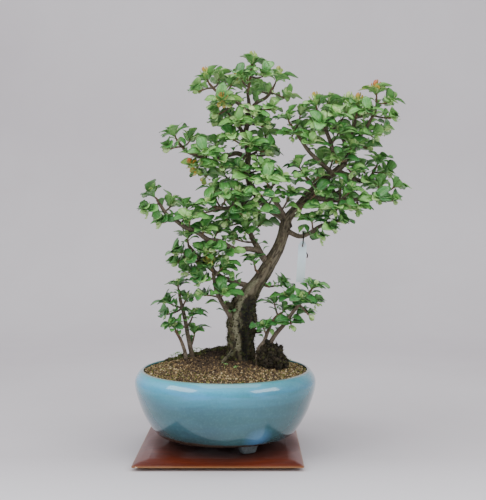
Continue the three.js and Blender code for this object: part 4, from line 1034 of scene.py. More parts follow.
def spur_at(foot, tip):
    """A spur from the square of its foot to its tip, with the directions round it."""
    start = sum(foot) / 4
    axis = unit(tip - start)
    first = foot[0] - start
    first = unit(first - (first @ axis) * axis)
    second = cross(axis, first)

    def toward(turn):
        return cos(turn) * first + sin(turn) * second

    end = [tip + SPUR_END * toward(turn) for turn in QUARTERS]
    return {"start": start, "tip": tip, "axis": axis, "toward": toward, "corners": foot + end}


def seat_spurs(path, tips):
    """The branch's rings and its spurs, each on the best free face."""
    rings, faces = wood_faces(path)
    spurs = [spur_at(rings[-1], np.array(tips[0][:3], float))]
    for tip in (np.array(place[:3], float) for place in tips[1:]):
        face = max(faces, key=lambda free: seat_score(free, tip))
        faces = [other for other in faces if other is not face]
        half = min(SPUR_SEAT, 0.36 * face["width"])
        foot = [face["middle"] + u * half * face["across"] + v * SPUR_SEAT * face["along"]
                for u, v in ((-1, -1), (1, -1), (1, 1), (-1, 1))]
        spurs.append({**spur_at(foot, tip), "inward": -face["normal"]})
    return rings, spurs


seated = {name: seat_spurs(path, tips) for name, (usual, path, tips) in STEMS.items()}
print("spurs seated:", sum(len(spurs) for rings, spurs in seated.values()))

# %% [markdown]
# ## Where the leaves grow
# Leaves don't pass through each other or through wood. A physics run could push them apart,
# but that is slow, and convex hulls are enough. Two hulls are clear of each other where a
# plane parts them. A leaf that would touch something is turned, shortened and tried again.
# Draws come from seeded generators, so the tree is the same each time.

# %% Tell hulls apart
def hull(points, directions):
    """A convex hull by its corners, with the directions its sides face."""
    points = np.array(points)
    middle = points.mean(axis=0)
    reach = sqrt(((points - middle) ** 2).sum(axis=1).max())
    return {"points": points, "directions": directions, "middle": middle, "reach": reach}


def clear(a, b, gap):
    """Whether two hulls keep the gap, measured along every direction that could part them."""
    between = b["middle"] - a["middle"]
    if sqrt(between @ between) > a["reach"] + b["reach"] + gap:
        return True
    tests = [*a["directions"], *b["directions"], unit(between)]
    for u in a["directions"]:
        for v in b["directions"]:
            both = cross(u, v)
            if both @ both > 0.01:
                tests.append(unit(both))
    tests = np.array(tests)
    spans_a, spans_b = tests @ a["points"].T, tests @ b["points"].T
    apart = np.maximum(spans_b.min(axis=1) - spans_a.max(axis=1), spans_a.min(axis=1) - spans_b.max(axis=1))
    return bool(apart.max() > gap)


def box_hull(low, high):
    corners = [(x, y, z) for x in (low[0], high[0]) for y in (low[1], high[1]) for z in (low[2], high[2])]
    return hull(np.array(corners, float), list(np.eye(3)))


one, other = box_hull((0, 0, 0), (1, 1, 1)), box_hull((2, 0, 0), (3, 1, 1))
print("boxes 1 mm apart keep a gap of 0.5 mm:", clear(one, other, 0.5))

# %% [markdown]
# A leaf has to be clear of thousands of hulls, and testing each in full would be slow. So
# they are kept in one crowd, where middles and reaches are compared first. The wood's hulls
# are the first in it, with boxes round the tag and the mound.

# %% Gather the crowd
def wood_hulls(wood, sides, steps, swell=0):
    """The hulls of a piece of wood, one for each stretch between two rings."""
    rings = rings_along(wood, steps)
    for ring in rings:
        turns = [2 * pi * corner / sides for corner in range(sides)]
        ring["points"] = [ring["centre"] + (ring["radius"] + swell) * outward(ring, turn) for turn in turns]
    return [hull(one["points"] + two["points"], [two["along"], two["across"], two["out"]])
            for one, two in zip(rings, rings[1:])]


class Crowd:
    """Hulls that a new leaf keeps clear of, with their middles and reaches ready to compare."""
    def __init__(self, room=9000):
        self.hulls = []
        self.middles = np.zeros((room, 3))
        self.reaches = np.zeros(room)

    def add(self, *shapes):
        for shape in shapes:
            self.middles[len(self.hulls)] = shape["middle"]
            self.reaches[len(self.hulls)] = shape["reach"]
            self.hulls.append(shape)

    def is_free(self, shape, gap, skip=()):
        """Whether the shape keeps the gap to every hull but the ones skipped."""
        count = len(self.hulls)
        far = np.sqrt(((self.middles[:count] - shape["middle"]) ** 2).sum(axis=1))
        near = np.nonzero(far <= self.reaches[:count] + shape["reach"] + gap)[0]
        others = (self.hulls[i] for i in near)
        return all(any(other is own for own in skip) or clear(shape, other, gap) for other in others)


# boxes round the tag, its wire, the mound and the mound's top
KEPT_FREE = [((98, -17, 210), (111, -9, 266)), ((102, -18, 240), (111, -6, 277)),
             ((-60, -60, 96), (80, 60, 112)), ((-20, -20, 112), (50, 40, 118))]
crowd = Crowd()
crowd.add(*wood_hulls(TRUNK, 8, 20, 2), *wood_hulls(RIGHT_LIMB, 6, 14), *wood_hulls(LEFT_LIMB, 6, 14),
          *wood_hulls(STUB, 6, 1), *wood_hulls(SHOULDER, 6, 2), *(box_hull(*box) for box in KEPT_FREE))
print("hulls to keep clear of:", len(crowd.hulls))

# %% [markdown]
# A leaf is only a frame at first: its root, three directions, length and arch, with points
# that stand for the blade and a hull round them. A whole mesh for each try would be slow,
# because many tries fail. The sizes are those of the solids' leaves.

# %% A leaf's frame
LEAF_SLIM = 0.6  # a blade's width for its length
LEAF_FOLD = 0.3  # rise of the margins for half the width
LEAF_WAVE = 0.045  # height of the margin's waves for the length
LEAF_THICK = 0.8
LEAF_LEAN = 1.15  # radians between a leaf and its spur
TOP_LEAN = 0.15  # and for the one that carries the spur on
# place along the rib, width and wave of each ring of points
BLADE_RINGS = ((0.42, 0.8, 1), (0.79, 0.94, -1))


def blade_points(leaf):
    """Points that stand for a leaf's blade: two bent, folded rings and the tip."""
    root, length, along, side, face = (leaf[key] for key in ("root", "length", "along", "side", "face"))
    points = []
    for at, width, wave in BLADE_RINGS:
        half = width * LEAF_SLIM * length / 2
        lift, ripple = LEAF_FOLD * half, LEAF_WAVE * length * wave
        rib = root + at * length * along - leaf["arch"] * length * at ** 2 * face
        points += [rib + half * side + (lift + ripple) * face, rib + LEAF_THICK / 2 * face,
                   rib - half * side + (lift - ripple) * face, rib - LEAF_THICK / 2 * face]
    return points + [root + length * along - leaf["arch"] * length * face]


def leaf_at(spur, turn, lean, length, arch, on_top):
    """A leaf's frame and hulls, from its turn round the spur and its lean."""
    axis, out = spur["axis"], spur["toward"](turn)
    along = unit(cos(lean) * axis + sin(lean) * out + 0.2 * UP)
    face = out if on_top else 0.7 * axis + 0.8 * UP
    face = unit(face - (face @ along) * along)
    root = spur["tip"] if on_top else spur["tip"] - BUD / 2 * axis + SPUR_END / 2 * out
    leaf = {"root": root, "along": along, "side": cross(face, along), "face": face, "length": length,
            "arch": arch, "axis": axis}
    points = blade_points(leaf)
    leaf["points"] = points
    leaf["blade"] = hull(points + [root + 0.15 * length * along], [along, leaf["side"], face])
    leaf["whole"] = hull(points + [root], [along, leaf["side"], face])
    return leaf


print("a leaf of 20 mm is", round(20 * LEAF_SLIM), "mm wide and", LEAF_THICK, "mm thick")

# %% [markdown]
# The solids' own leaves come first, grown again by the rule that made them, so that each fine
# leaf lies where its solid is. They could be copied off the solids, but the rule is shorter
# and gives each leaf's frame. Its dice are a formula that rolls the same in any language.

# %% Grow the leaves of the solids
TRIES = 10  # turns that a leaf may try
GAP = 0.3  # kept between two leaves


def dice(seed):
    """Dice that roll the same numbers from 0 to 1 for the same seed."""
    state = seed

    def roll():
        nonlocal state
        state = (state * 1664525 + 1013904223) % 4294967296
        return state / 4294967296

    for _ in range(3):
        roll()
    return roll


def grow_leaves(spur, count, usual, roll):
    """The leaves that the solid has at this spur, each clear of all before it."""
    leaves = []
    for bud in range(count):
        on_top = bud == 4
        length = usual * (0.75 if on_top else 1.28 - 0.1 * bud) * (0.9 + 0.2 * roll())
        for attempt in range(TRIES):
            turn = (2 * bud + 1) * pi / 4 + (0.9 + 0.05 * attempt) * (roll() - 0.5)
            lean = (TOP_LEAN if on_top else LEAF_LEAN) + 0.5 * (roll() - 0.5)
            leaf = leaf_at(spur, turn, lean, length, 0.1 + 0.16 * roll(), on_top)
            apart = all(clear(leaf["blade"], other["blade"], GAP) for other in leaves)
            if apart and crowd.is_free(leaf["whole"], 2 * GAP, [spur["hull"]]):
                leaves.append(leaf)
                break
            length *= 0.95
    return leaves


plans = []
for index, (name, (usual, path, tips)) in enumerate(STEMS.items()):
    rings, spurs = seated[name]
    steps = len(rings) - 1
    for i in range(steps):
        middle = ring_at(path, (i + 0.5) / steps)
        crowd.add(hull(rings[i] + rings[i + 1], [middle["along"], middle["across"], middle["out"]]))
    for spur in spurs:
        toward = spur["toward"]
        spur["hull"] = hull(spur["corners"], [spur["axis"], toward(0), toward(pi / 2)])
        crowd.add(spur["hull"])
    plans.append({"name": name, "index": index, "path": path, "usual": usual, "tips": tips, "spurs": spurs})

for plan in plans:
    for k, (spur, tip) in enumerate(zip(plan["spurs"], plan["tips"])):
        roll = dice(1000 * plan["index"] + 37 * k + 5)
        spur["leaves"] = grow_leaves(spur, tip[3], plan["usual"], roll)
        crowd.add(*(leaf["whole"] for leaf in spur["leaves"]))
print("leaves placed:", sum(len(spur["leaves"]) for plan in plans for spur in plan["spurs"]))

# %% [markdown]
# ## Wood of the branches
# Old spur wood is knobbly, because each year's leaves leave a scar. A Skin modifier grows
# wood from a line of edges, but gives little say over knobs. So the branch is a round tube
# along its line, and each spur a thin tube that starts inside it, bends a little and swells
# at a few knobs. The ends are young and reddish, which the finish reads from the distance to
# the tip.

# %% Model the twigs
TWIG_SWELL, SUCKER_SWELL = 1.15, 1.35  # bark makes the wood thicker than its solid


def spur_rings(spur, draw):
    """Rings along a bent spur, from inside the wood to just past its tip."""
    start = spur["start"] + 1.2 * spur.get("inward", -spur["axis"])
    length = dist(start, spur["tip"])
    aside = spur["toward"](draw.uniform(0, 2 * pi)) * draw.uniform(0.03, 0.09) * length
    aside = aside - 0.02 * length * UP
    steps = max(int(length / 2.2), 4)
    rings = []
    for step in range(steps + 1):
        share = step / steps
        centre = start + share * (spur["tip"] - start) + 4 * share * (1 - share) * aside
        knob = 0.22 * max(sin(share * length * 1.1 + spur["tip"][0]), 0) ** 4
        rings.append({"centre": centre, "across": spur["toward"](0), "out": spur["toward"](pi / 2),
                      "radius": 1.45 - 0.65 * share + knob + 0.35 * smoothstep(share, 0.85, 1)})
    return rings


def grow_twigs(plan, draw):
    """The wood of one branch and its spurs, with how young it is at each vertex."""
    bm = bmesh.new()
    turn_of = bm.verts.layers.float.new("turn")
    youth = bm.verts.layers.float.new("youth")
    steps = 4 * (len(plan["path"]) - 1)
    rings = rings_along(plan["path"], steps)
    for ring in rings:
        ring["radius"] *= SUCKER_SWELL if "sucker" in plan["name"] else TWIG_SWELL
    knobs = draw.uniform(0, 6)

    def relief(turn, height):
        return 0.12 * sin(3 * turn + height / 3) + 0.16 * max(sin(height * 0.9 + knobs), 0) ** 3

    for vertex in grow_tube(bm, rings, 9, relief):
        near = min(rings, key=lambda ring: dist(ring["centre"], vertex.co))
        vertex[youth] = 1 - smoothstep(near["radius"], 1.2, 2.4)
    for spur in plan["spurs"]:
        tip = Vector(spur["tip"])
        for vertex in grow_tube(bm, spur_rings(spur, draw), 7):
            vertex[youth] = 1 - smoothstep((vertex.co - tip).length, 2, 12)
    bm.verts.layers.float.remove(turn_of)
    return bm


twig_skin = Finish("twig_bark", Roughness=0.7)
grain = twig_skin.noise(900, 4)
blotch = twig_skin.noise(160, 3)
old = twig_skin.ramp(grain, (0.3, 62, 54, 44), (0.55, 102, 90, 74), (0.75, 146, 134, 116))
young = twig_skin.ramp(blotch, (0.35, 100, 66, 46), (0.6, 124, 94, 60), (0.75, 116, 122, 66))
youth = twig_skin.times(twig_skin.attribute("youth"), 0.85)
twig_skin.show(twig_skin.mix(youth, old, young), None, grain, 0.0003, 0.6)
for plan in plans:
    draw = np.random.default_rng(100 + plan["index"])
    mesh = closed_mesh(plan["name"] + "_twigs", grow_twigs(plan, draw))
    hand_over(plan["name"] + "_twigs", mesh, twig_skin, "bark", plan["name"])

# %% [markdown]
# ## Leaves
# A quince leaf is spoon-shaped, narrow at its stalk and widest past its middle, with a wavy
# margin and a fold along the pale midrib. A flat card with a picture of a leaf would be the
# lightest, but has no thickness and looks thin from the side. So one blade is made: a grid,
# copied for the underside and closed at the margins. It is only a parameter space, across
# from -1 to 1 and along from 0 to 1, and each leaf bends it to its length, arch and waves.

# %% Make the blade once
ACROSS, ALONG = 4, 7
BLADE_ROWS = (0, 0.13, 0.28, 0.44, 0.61, 0.78, 0.92, 1)
BLADE_WIDTHS = (0.07, 0.1, 0.42, 0.77, 0.97, 1.0, 0.77, 0.36)
BLADE_THICKNESS = (0.9, 0.75, 0.5, 0.4, 0.35, 0.3, 0.25, 0.2)

bm = bmesh.new()
bmesh.ops.create_grid(bm, x_segments=ACROSS, y_segments=ALONG, size=1, calc_uvs=False)
for vertex in bm.verts:
    vertex.co.y = BLADE_ROWS[round((vertex.co.y + 1) / 2 * ALONG)]
copied = bmesh.ops.duplicate(bm, geom=bm.verts[:] + bm.edges[:] + bm.faces[:])["geom"]
bmesh.ops.reverse_faces(bm, faces=picked(copied, BMFace))
for vertex in picked(copied, BMVert):
    inner = abs(vertex.co.x) < 0.99 and 0.001 < vertex.co.y < 0.999
    vertex.co.z = -1 if inner else 0
bmesh.ops.remove_doubles(bm, verts=bm.verts, dist=0.0001)
uv = bm.loops.layers.uv.new("blade")
for face in bm.faces:
    for loop in face.loops:
        loop[uv].uv = (loop.vert.co.x / 2 + 0.5, loop.vert.co.y)
BLADE = plain_mesh("blade", bm)
blade_across, blade_along, blade_under = read_all(BLADE.vertices, "co").T
print("blade", len(BLADE.polygons), "faces")

# %% [markdown]
# A leaf's frame gives three directions: along the rib, to the side, and out of its upper
# face. Bending could be left to modifiers, one set for each leaf, but there are thousands.
# Short sums over the blade's own coordinates bend all its vertices at once.

# %% Bend a blade to its leaf
SEEN_SLIM = 0.585  # width of the blade as it is seen, for its length
SEEN_FOLD = 0.42  # rise of its margins for half the width


def bend_blade(leaf, draw):
    """The places of the blade's vertices for one leaf."""
    length = leaf["length"]
    half = np.interp(blade_along, BLADE_ROWS, BLADE_WIDTHS) * SEEN_SLIM * length / 2
    half = half * (1 + 0.04 * np.cos(19 * blade_along + leaf["root"][0]))
    thick = np.interp(blade_along, BLADE_ROWS, BLADE_THICKNESS)
    crest = np.abs(blade_across) * blade_across ** 2 / (blade_across ** 2 + 0.06)
    phase = draw.uniform(0, 2 * pi)
    wave = LEAF_WAVE * np.cos(pi * (blade_along - 0.42) / 0.37) * np.sign(blade_across) * blade_across ** 2
    wave += 0.035 * np.sin(10 * blade_along + phase) * blade_across ** 2
    wave *= length * np.clip(blade_along * 4 - 0.4, 0, 1)
    bow = leaf["bow"] * (blade_along - blade_along ** 2) - leaf["droop"] * blade_along ** 3
    rib = bow - leaf["arch"] * blade_along ** 2 - 0.6 * np.maximum(blade_along - 0.8, 0) ** 2
    body = (0.5 + blade_under) * thick * (1 - blade_across ** 2)
    height = SEEN_FOLD * half * crest + wave + rib * length + body
    tip = 0.035 * length * np.where(blade_along > 0.99, 1 - blade_across ** 2, 0)
    reach = blade_along * length * (1 - 0.3 * leaf["bow"] ** 2) + tip
    return (leaf["root"] + np.outer(reach, leaf["along"]) + np.outer(half * blade_across, leaf["side"])
            + np.outer(height, leaf["face"]))


def leaves_mesh(name, leaves, draw):
    """One mesh of bent blades. Each leaf is a dictionary with its frame, tone and flush."""
    bm = bmesh.new()
    for leaf in leaves:
        BLADE.vertices.foreach_set("co", bend_blade(leaf, draw).astype(np.float32).ravel())
        bm.from_mesh(BLADE)
    mesh = to_mesh(name, bm)
    for key in ("tone", "flush"):
        set_values(mesh, key, np.repeat([leaf[key] for leaf in leaves], len(blade_across)))
    set_values(mesh, "under", np.tile(-blade_under, len(leaves)))
    return mesh


print("a bent blade of 20 mm is", round(20 * SEEN_SLIM, 1), "mm wide")

# %% [markdown]
# A living leaf turns its upper side to the light. The solids' leaves stand anyhow, and a crown
# of them would look thin from the front. They could be turned by hand, but there are
# thousands. A rule does it: each face is drawn up and out of the crown, and a leaf that hangs
# is lifted. Added leaves also keep out of the view of the right limb, which is bare in the
# picture for a finger's length.

# %% Turn leaves to the light
CROWN_MIDDLE, CROWN_REACH = 60, (130, 32)  # the crown's middle in x, and its reach in x and y
LIGHT_UP, LIGHT_OUT = 1.2, 0.9  # how far a face is drawn up, and out of the crown
HANGING, LIFT = 0.35, 0.8  # a leaf that rises less than this is lifted by a share
BARE_FROM, BARE_TO = 292, 362  # heights between which the right limb is bare


def settle(leaf):
    """Turns a leaf's upper side up and out to the light, and lifts it where it hangs."""
    x, y, _ = leaf["root"]
    out = np.array([(x - CROWN_MIDDLE) / CROWN_REACH[0], y / CROWN_REACH[1], 0])
    out /= max(1, hypot(*out))
    along = leaf["along"]
    if along[2] < HANGING:
        along = unit(along + LIFT * (HANGING - along[2]) * UP)
    face = leaf["face"] + LIGHT_UP * UP + LIGHT_OUT * out
    face = unit(face - (face @ along) * along)
    return {**leaf, "along": along, "face": face, "side": cross(face, along)}


bare_limb = [ring for ring in rings_along(RIGHT_LIMB, 60) if BARE_FROM < ring["centre"][2] < BARE_TO]


def hides_limb(leaf):
    """Whether a leaf hangs in front of the bare stretch of the right limb."""
    middle = leaf["root"] + 0.5 * leaf["length"] * leaf["along"]
    offs = [hypot(*(middle - ring["centre"])[[0, 2]]) for ring in bare_limb]
    near = bare_limb[offs.index(min(offs))]
    return middle[1] < near["centre"][1] and min(offs) < near["radius"] + 5


print(len(bare_limb), "rings of the right limb are kept clear")

# %% [markdown]
# The solids have up to five leaves at a spur, and a real rosette is denser. Leaves follow
# each other round the spur at the golden angle, so that none shades the next, from the old
# spread ones below to the small upright ones in the middle. Scattering them at random would
# give tufts, not rosettes. A leaf that finds no room at its turn is tried at the next.

# %% Add leaves to the rosettes
GOLDEN = 2.4  # the golden angle in radians
ROSETTE = 9  # leaves that a spur's end may get
# a hull is roomier than its leaf, so hulls may run into each other a little
ROSETTE_GAP, SPUR_GAP, WOOD_GAP = -1.2, -0.6, 0


def rosette(spur, usual, draw):
    """Leaves between the ones that the spur has, from spread and long to steep and short."""
    grown = []
    own = [spur["hull"], *(leaf["whole"] for leaf in spur["leaves"])]
    first = draw.uniform(0, 2 * pi)
    for order in range(ROSETTE):
        share = order / (ROSETTE - 1)
        tip = spur["tip"] - (1 - share) * draw.uniform(1.5, 5) * spur["axis"]
        for attempt in range(4):
            turn = first + GOLDEN * order + attempt * draw.uniform(0.4, 0.9)
            lean = 1.25 - 0.6 * share + 0.2 * draw.normal()
            length = usual * (1.12 - 0.4 * share) * draw.uniform(0.85, 1.1)
            leaf = leaf_at({**spur, "tip": tip}, turn, lean, length, draw.uniform(0.05, 0.25), False)
            if not hides_limb(leaf) and crowd.is_free(leaf["blade"], ROSETTE_GAP, own):
                grown.append(leaf)
                own.append(leaf["whole"])
                crowd.add(leaf["whole"])
                break
    return grown


print("leaves turn by", round(degrees(GOLDEN)), "degrees from one to the next")

# %% [markdown]
# Single leaves also grow along spurs and on the younger wood, from buds on its side. A bud
# could be a shape of its own, but it is hidden by its leaf. So it is only a frame in the
# form of a short spur, and the same rule grows a leaf there. No bud grows close to the soil.

# %% Add leaves along the wood
LOWEST_BUD = 140  # height
WOOD_BUD_EVERY, SPUR_BUD_EVERY = 2.5, 3  # the way from one bud to the next


def bud_on(ring, turn):
    """A place for leaves on the side of the wood, in the form of a short spur."""
    out = outward(ring, turn)
    axis = unit(out + 0.6 * ring["along"] + 0.5 * UP)
    first = unit(cross(axis, ring["along"]))
    second = cross(axis, first)
    tip = ring["centre"] + (ring["radius"] + 0.6) * out
    return {"tip": tip, "axis": axis, "leaves": [], "hull": hull([ring["centre"], tip], [out]),
            "toward": lambda angle: cos(angle) * first + sin(angle) * second}


def wood_leaves(plan, draw):
    """Single leaves along the younger part of the branch."""
    grown = []
    length = sum(dist(one[:3], two[:3]) for one, two in zip(plan["path"], plan["path"][1:]))
    for _ in range(int(length / WOOD_BUD_EVERY)):
        ring = ring_at(plan["path"], 0.2 + 0.8 * draw.random())
        bud = bud_on(ring, draw.uniform(0, 2 * pi))
        leaf = leaf_at(bud, draw.uniform(0, 2 * pi), draw.uniform(0.3, 0.9),
                       plan["usual"] * draw.uniform(0.5, 0.9), draw.uniform(0.05, 0.25), False)
        if ring["centre"][2] < LOWEST_BUD or hides_limb(leaf):
            continue
        if crowd.is_free(hull(leaf["points"][:9], leaf["blade"]["directions"]), WOOD_GAP):
            crowd.add(leaf["whole"])
            grown.append(leaf)
    return grown


def spur_leaves(spur, usual, draw):
    """Leaves along the spur, below its rosette."""
    grown = []
    length = dist(spur["start"], spur["tip"])
    own = [spur["hull"]]
    for _ in range(int(length / SPUR_BUD_EVERY)):
        place = spur["start"] + draw.uniform(0.25, 0.9) * (spur["tip"] - spur["start"])
        for attempt in range(3):
            leaf = leaf_at({**spur, "tip": place}, draw.uniform(0, 2 * pi), draw.uniform(0.7, 1.3),
                           usual * draw.uniform(0.55, 0.95), draw.uniform(0.05, 0.25), False)
            if not hides_limb(leaf) and crowd.is_free(leaf["blade"], SPUR_GAP, own):
                grown.append(leaf)
                crowd.add(leaf["whole"])
                break
    return grown


print("a bud every", WOOD_BUD_EVERY, "mm of wood and every", SPUR_BUD_EVERY, "mm of spur")

# %% [markdown]
# In the picture the young leaves at the shoot ends flush yellow-green to orange and red, and
# a few old ones have turned yellow. Chance could place them, but these spots catch the eye,
# so they are listed where the picture has them. Each leaf keeps a tone, from dark and old to
# pale and young, and a flush, for the finish to read.

# %% List the new growth
# x and z of each spot of new growth, and how strongly it flushes
FLUSHED = [((196, 460), 1.4), ((-11, 231), 0.8), ((-26, 354), 0.9), ((16, 459), 0.7), ((3, 440), 0.8),
           ((-17, 470), 0.7), ((-86, 326), 0.6), ((-40, 270), 0.35), ((114, 431), 0.6), ((176, 436), 0.7),
           ((40, 492), 0.45), ((72, 478), 0.5), ((8, 456), 0.6)]
TURNED = [(150, 367), (147, 303), (141, 300)]  # x and z of old leaves that turned yellow


def flush_at(spot):
    """How far the leaves near a spot flush with new growth."""
    return max(value * (1 - smoothstep(hypot(spot[0] - x, spot[2] - z), 6, 18))
               for (x, z), value in FLUSHED)


def with_looks(leaf, tone, flush, bows, droops, draw):
    """The leaf with its tone, its flush, and a bend of its rib drawn from two ranges."""
    return {**leaf, "tone": clamp(tone), "flush": flush, "bow": draw.uniform(*bows),
            "droop": draw.uniform(*droops)}


# the ranges of bow and droop of old leaves, young ones and the ones on a shoot
GROWN, FRESH, ON_SHOOT = ((0.15, 0.6), (0, 0.16)), ((-0.1, 0.3), (-0.05, 0.15)), ((0, 0.3), (-0.05, 0.15))
print(len(FLUSHED), "spots of new growth")

# %% [markdown]
# A spur gets all its leaves together: the solid's own, the rosette, those along the spur and
# a few young ones. Instances on points could strew them, but would not tell old from young.
# Where new growth is listed, a soft shoot carries the spur on.

# %% Dress every spur
SHOOT, YOUNG = 7, 5  # leaves on a soft shoot, and young ones in a rosette's middle


def shoot_leaves(spur, usual, flush, draw):
    """Young leaves one above the other on a soft shoot that carries a spur on."""
    way = unit(spur["axis"] + 1.2 * UP)
    grown = []
    for order in range(SHOOT):
        share = order / (SHOOT - 1)
        lower = {**spur, "axis": way, "tip": spur["tip"] + share * 0.42 * usual * way}
        young = leaf_at(lower, GOLDEN * order, 1.0 - 0.8 * share, usual * (0.66 - 0.2 * share),
                        draw.uniform(-0.15, 0.1), True)
        own_flush = min(flush * (0.5 + 0.6 * share), 1)
        grown.append(with_looks(young, draw.uniform(0.7, 1), own_flush, *ON_SHOOT, draw))
    return grown


def dress_spur(spur, usual, draw):
    """All the leaves of a spur, short and high ones paler than long and low ones."""
    flush = flush_at(spur["tip"])
    grown = []
    for leaf in spur["leaves"] + rosette(spur, usual, draw) + spur_leaves(spur, usual, draw):
        shade = 0.78 - 0.4 * leaf["length"] / usual + 0.21 * draw.normal() + 0.2 * (leaf["root"][2] - 320) / 150
        grown.append(with_looks(settle(leaf), shade, 0.35 * flush * draw.random(), *GROWN, draw))
    if flush > 0.3:
        grown += shoot_leaves(spur, usual, flush, draw)
    for order in range(YOUNG):
        young = leaf_at(spur, GOLDEN * order, draw.uniform(0.1, 0.65), usual * draw.uniform(0.28, 0.6),
                        draw.uniform(-0.1, 0.1), True)
        tone = draw.uniform(0.75, 1)
        own_flush = max(flush * draw.uniform(0.6, 1.1), draw.uniform(0, 0.3))
        grown.append(with_looks(young, tone, own_flush, *FRESH, draw))
    return grown


leaf_sets = {}
for plan in plans:
    draw = np.random.default_rng(500 + plan["index"])
    grown = [leaf for spur in plan["spurs"] for leaf in dress_spur(spur, plan["usual"], draw)]
    for leaf in wood_leaves(plan, draw):
        grown.append(with_looks(settle(leaf), 0.35 + 0.2 * draw.normal(), 0, *GROWN, draw))
    leaf_sets[plan["name"]] = grown

everyone = [leaf for leaves in leaf_sets.values() for leaf in leaves]
for x, z in TURNED:
    old = min(everyone, key=lambda leaf: dist(leaf["root"], (x, -24, z)) - 12 * abs(leaf["face"][1]))
    old["flush"] = 0.8
print("leaves", len(everyone))

# %% [markdown]
# A leaf is waxy above and dull and pale below. The midrib is a pale line down the middle,
# the side veins slant forward from it, and both are pressed in a little. Veins could be cut
# into the mesh, but that would take hundreds of faces for each leaf. They are drawn in the
# finish from the blade's own UV map, where u runs across and v along.

# %% Colour the leaves
leaf_skin = Finish("quince_leaf", Coat_Weight=0.35, Coat_Roughness=0.2)
SIDE_VEINS = 8  # on each side of the midrib
leaf_uv = leaf_skin.node("SeparateXYZ", {0: leaf_skin.node("UVMap", {}, uv_map="blade").outputs["UV"]}).outputs
off_rib = leaf_skin.math("ABSOLUTE", leaf_skin.math("SUBTRACT", leaf_uv["X"], 0.5))
slant = leaf_skin.math("SUBTRACT", leaf_uv["Y"], leaf_skin.times(off_rib, 0.55))
stripe = leaf_skin.math("SUBTRACT", leaf_skin.math("FRACT", leaf_skin.times(slant, SIDE_VEINS)), 0.5)
side_vein = leaf_skin.level(leaf_skin.math("ABSOLUTE", stripe), 0.09, 0.02)
midrib = leaf_skin.level(off_rib, 0.04, 0.012)
vein = leaf_skin.math("MAXIMUM", midrib, leaf_skin.times(side_vein, 0.3))
tone = leaf_skin.attribute("tone")
tipward = leaf_skin.level(leaf_uv["Y"], 0.15, 0.95, 0.45, 1)
flush = leaf_skin.times(leaf_skin.attribute("flush"), tipward)
cloud = leaf_skin.noise(110, 3)
tone = leaf_skin.plus(tone, leaf_skin.level(cloud, 0.3, 0.7, -0.15, 0.15))
tint = leaf_skin.ramp(tone, (0.0, 46, 110, 50), (0.35, 90, 162, 76), (0.65, 148, 208, 112),
                      (1.0, 214, 240, 168))
fresh = leaf_skin.ramp(flush, (0.0, 136, 188, 86), (0.4, 184, 192, 80), (0.66, 216, 150, 62),
                       (1.0, 196, 68, 46))
tint = leaf_skin.mix(leaf_skin.level(flush, 0.12, 0.5), tint, fresh)
tint = leaf_skin.mix(leaf_skin.times(vein, 0.3), tint, (160, 204, 126))
# the pale margin is partly the leaf's own and partly a painted highlight along its glossy edge
margin = leaf_skin.level(off_rib, 0.44, 0.5, 0, 0.4)
tint = leaf_skin.mix(margin, tint, (196, 216, 146))
under = leaf_skin.attribute("under")
tint = leaf_skin.mix(leaf_skin.times(under, 0.5), tint, (130, 176, 110))
stalk = leaf_skin.level(leaf_uv["Y"], 0.2, 0.06, 0, 0.6)
tint = leaf_skin.mix(stalk, tint, (140, 130, 74))
leaf_skin.show(tint, leaf_skin.level(under, 0, 1, 0.36, 0.6), leaf_skin.math("SUBTRACT", 1.0, vein),
               0.0003, 0.5)
for name, leaves in leaf_sets.items():
    mesh = leaves_mesh(name + "_leaves", leaves, np.random.default_rng(len(name)))
    hand_over(name + "_leaves", mesh, leaf_skin, "leaf", name)

# %% [markdown]
# ## Moss
# Moss holds where it is damp: in the cracks of the foot, on the soil's crest and on the
# clump. Hair particles could make it, but an export drops them. It is crumbs of the same seed
# mesh as the soil's grains, with thin shoots among them, one piece for each place. Old moss
# is brown and young moss green, by each crumb's tone.

# %% Colour the moss
moss = Finish("moss_crumbs", Roughness=1.0)
tuft = moss.noise(1400, 3)
crumb = moss.ramp(moss.attribute("tone"), (0.0, 24, 20, 13), (0.4, 52, 44, 27),
                  (0.62, 66, 72, 32), (0.85, 88, 94, 42), (1.0, 112, 94, 62))
moss.show(moss.mix(moss.level(tuft, 0.4, 0.7, 0, 0.5), crumb, (30, 30, 16)), None, tuft, 0.0004, 0.8)

bm = bmesh.new()
bmesh.ops.create_cone(bm, cap_ends=True, segments=3, radius1=0.34, radius2=0.08, depth=2.2)
bmesh.ops.translate(bm, vec=(0, 0, 0.8), verts=bm.verts)
SPRIG = plain_mesh("sprig", bm)
print("a shoot of moss has", len(SPRIG.vertices), "corners, a crumb", GRAIN_CORNERS)

# %% [markdown]
# On the bark the moss sits on the carved skin itself, at vertices low on the trunk. More of
# it is near the soil and in the cracks, and some on both flanks. A vertex group painted by
# hand would say the same, but chance weighed by height and depth follows the carving.

# %% Set moss on the bark
MOSS_FROM, MOSS_TO = 108, 196  # heights
draw = np.random.default_rng(41)


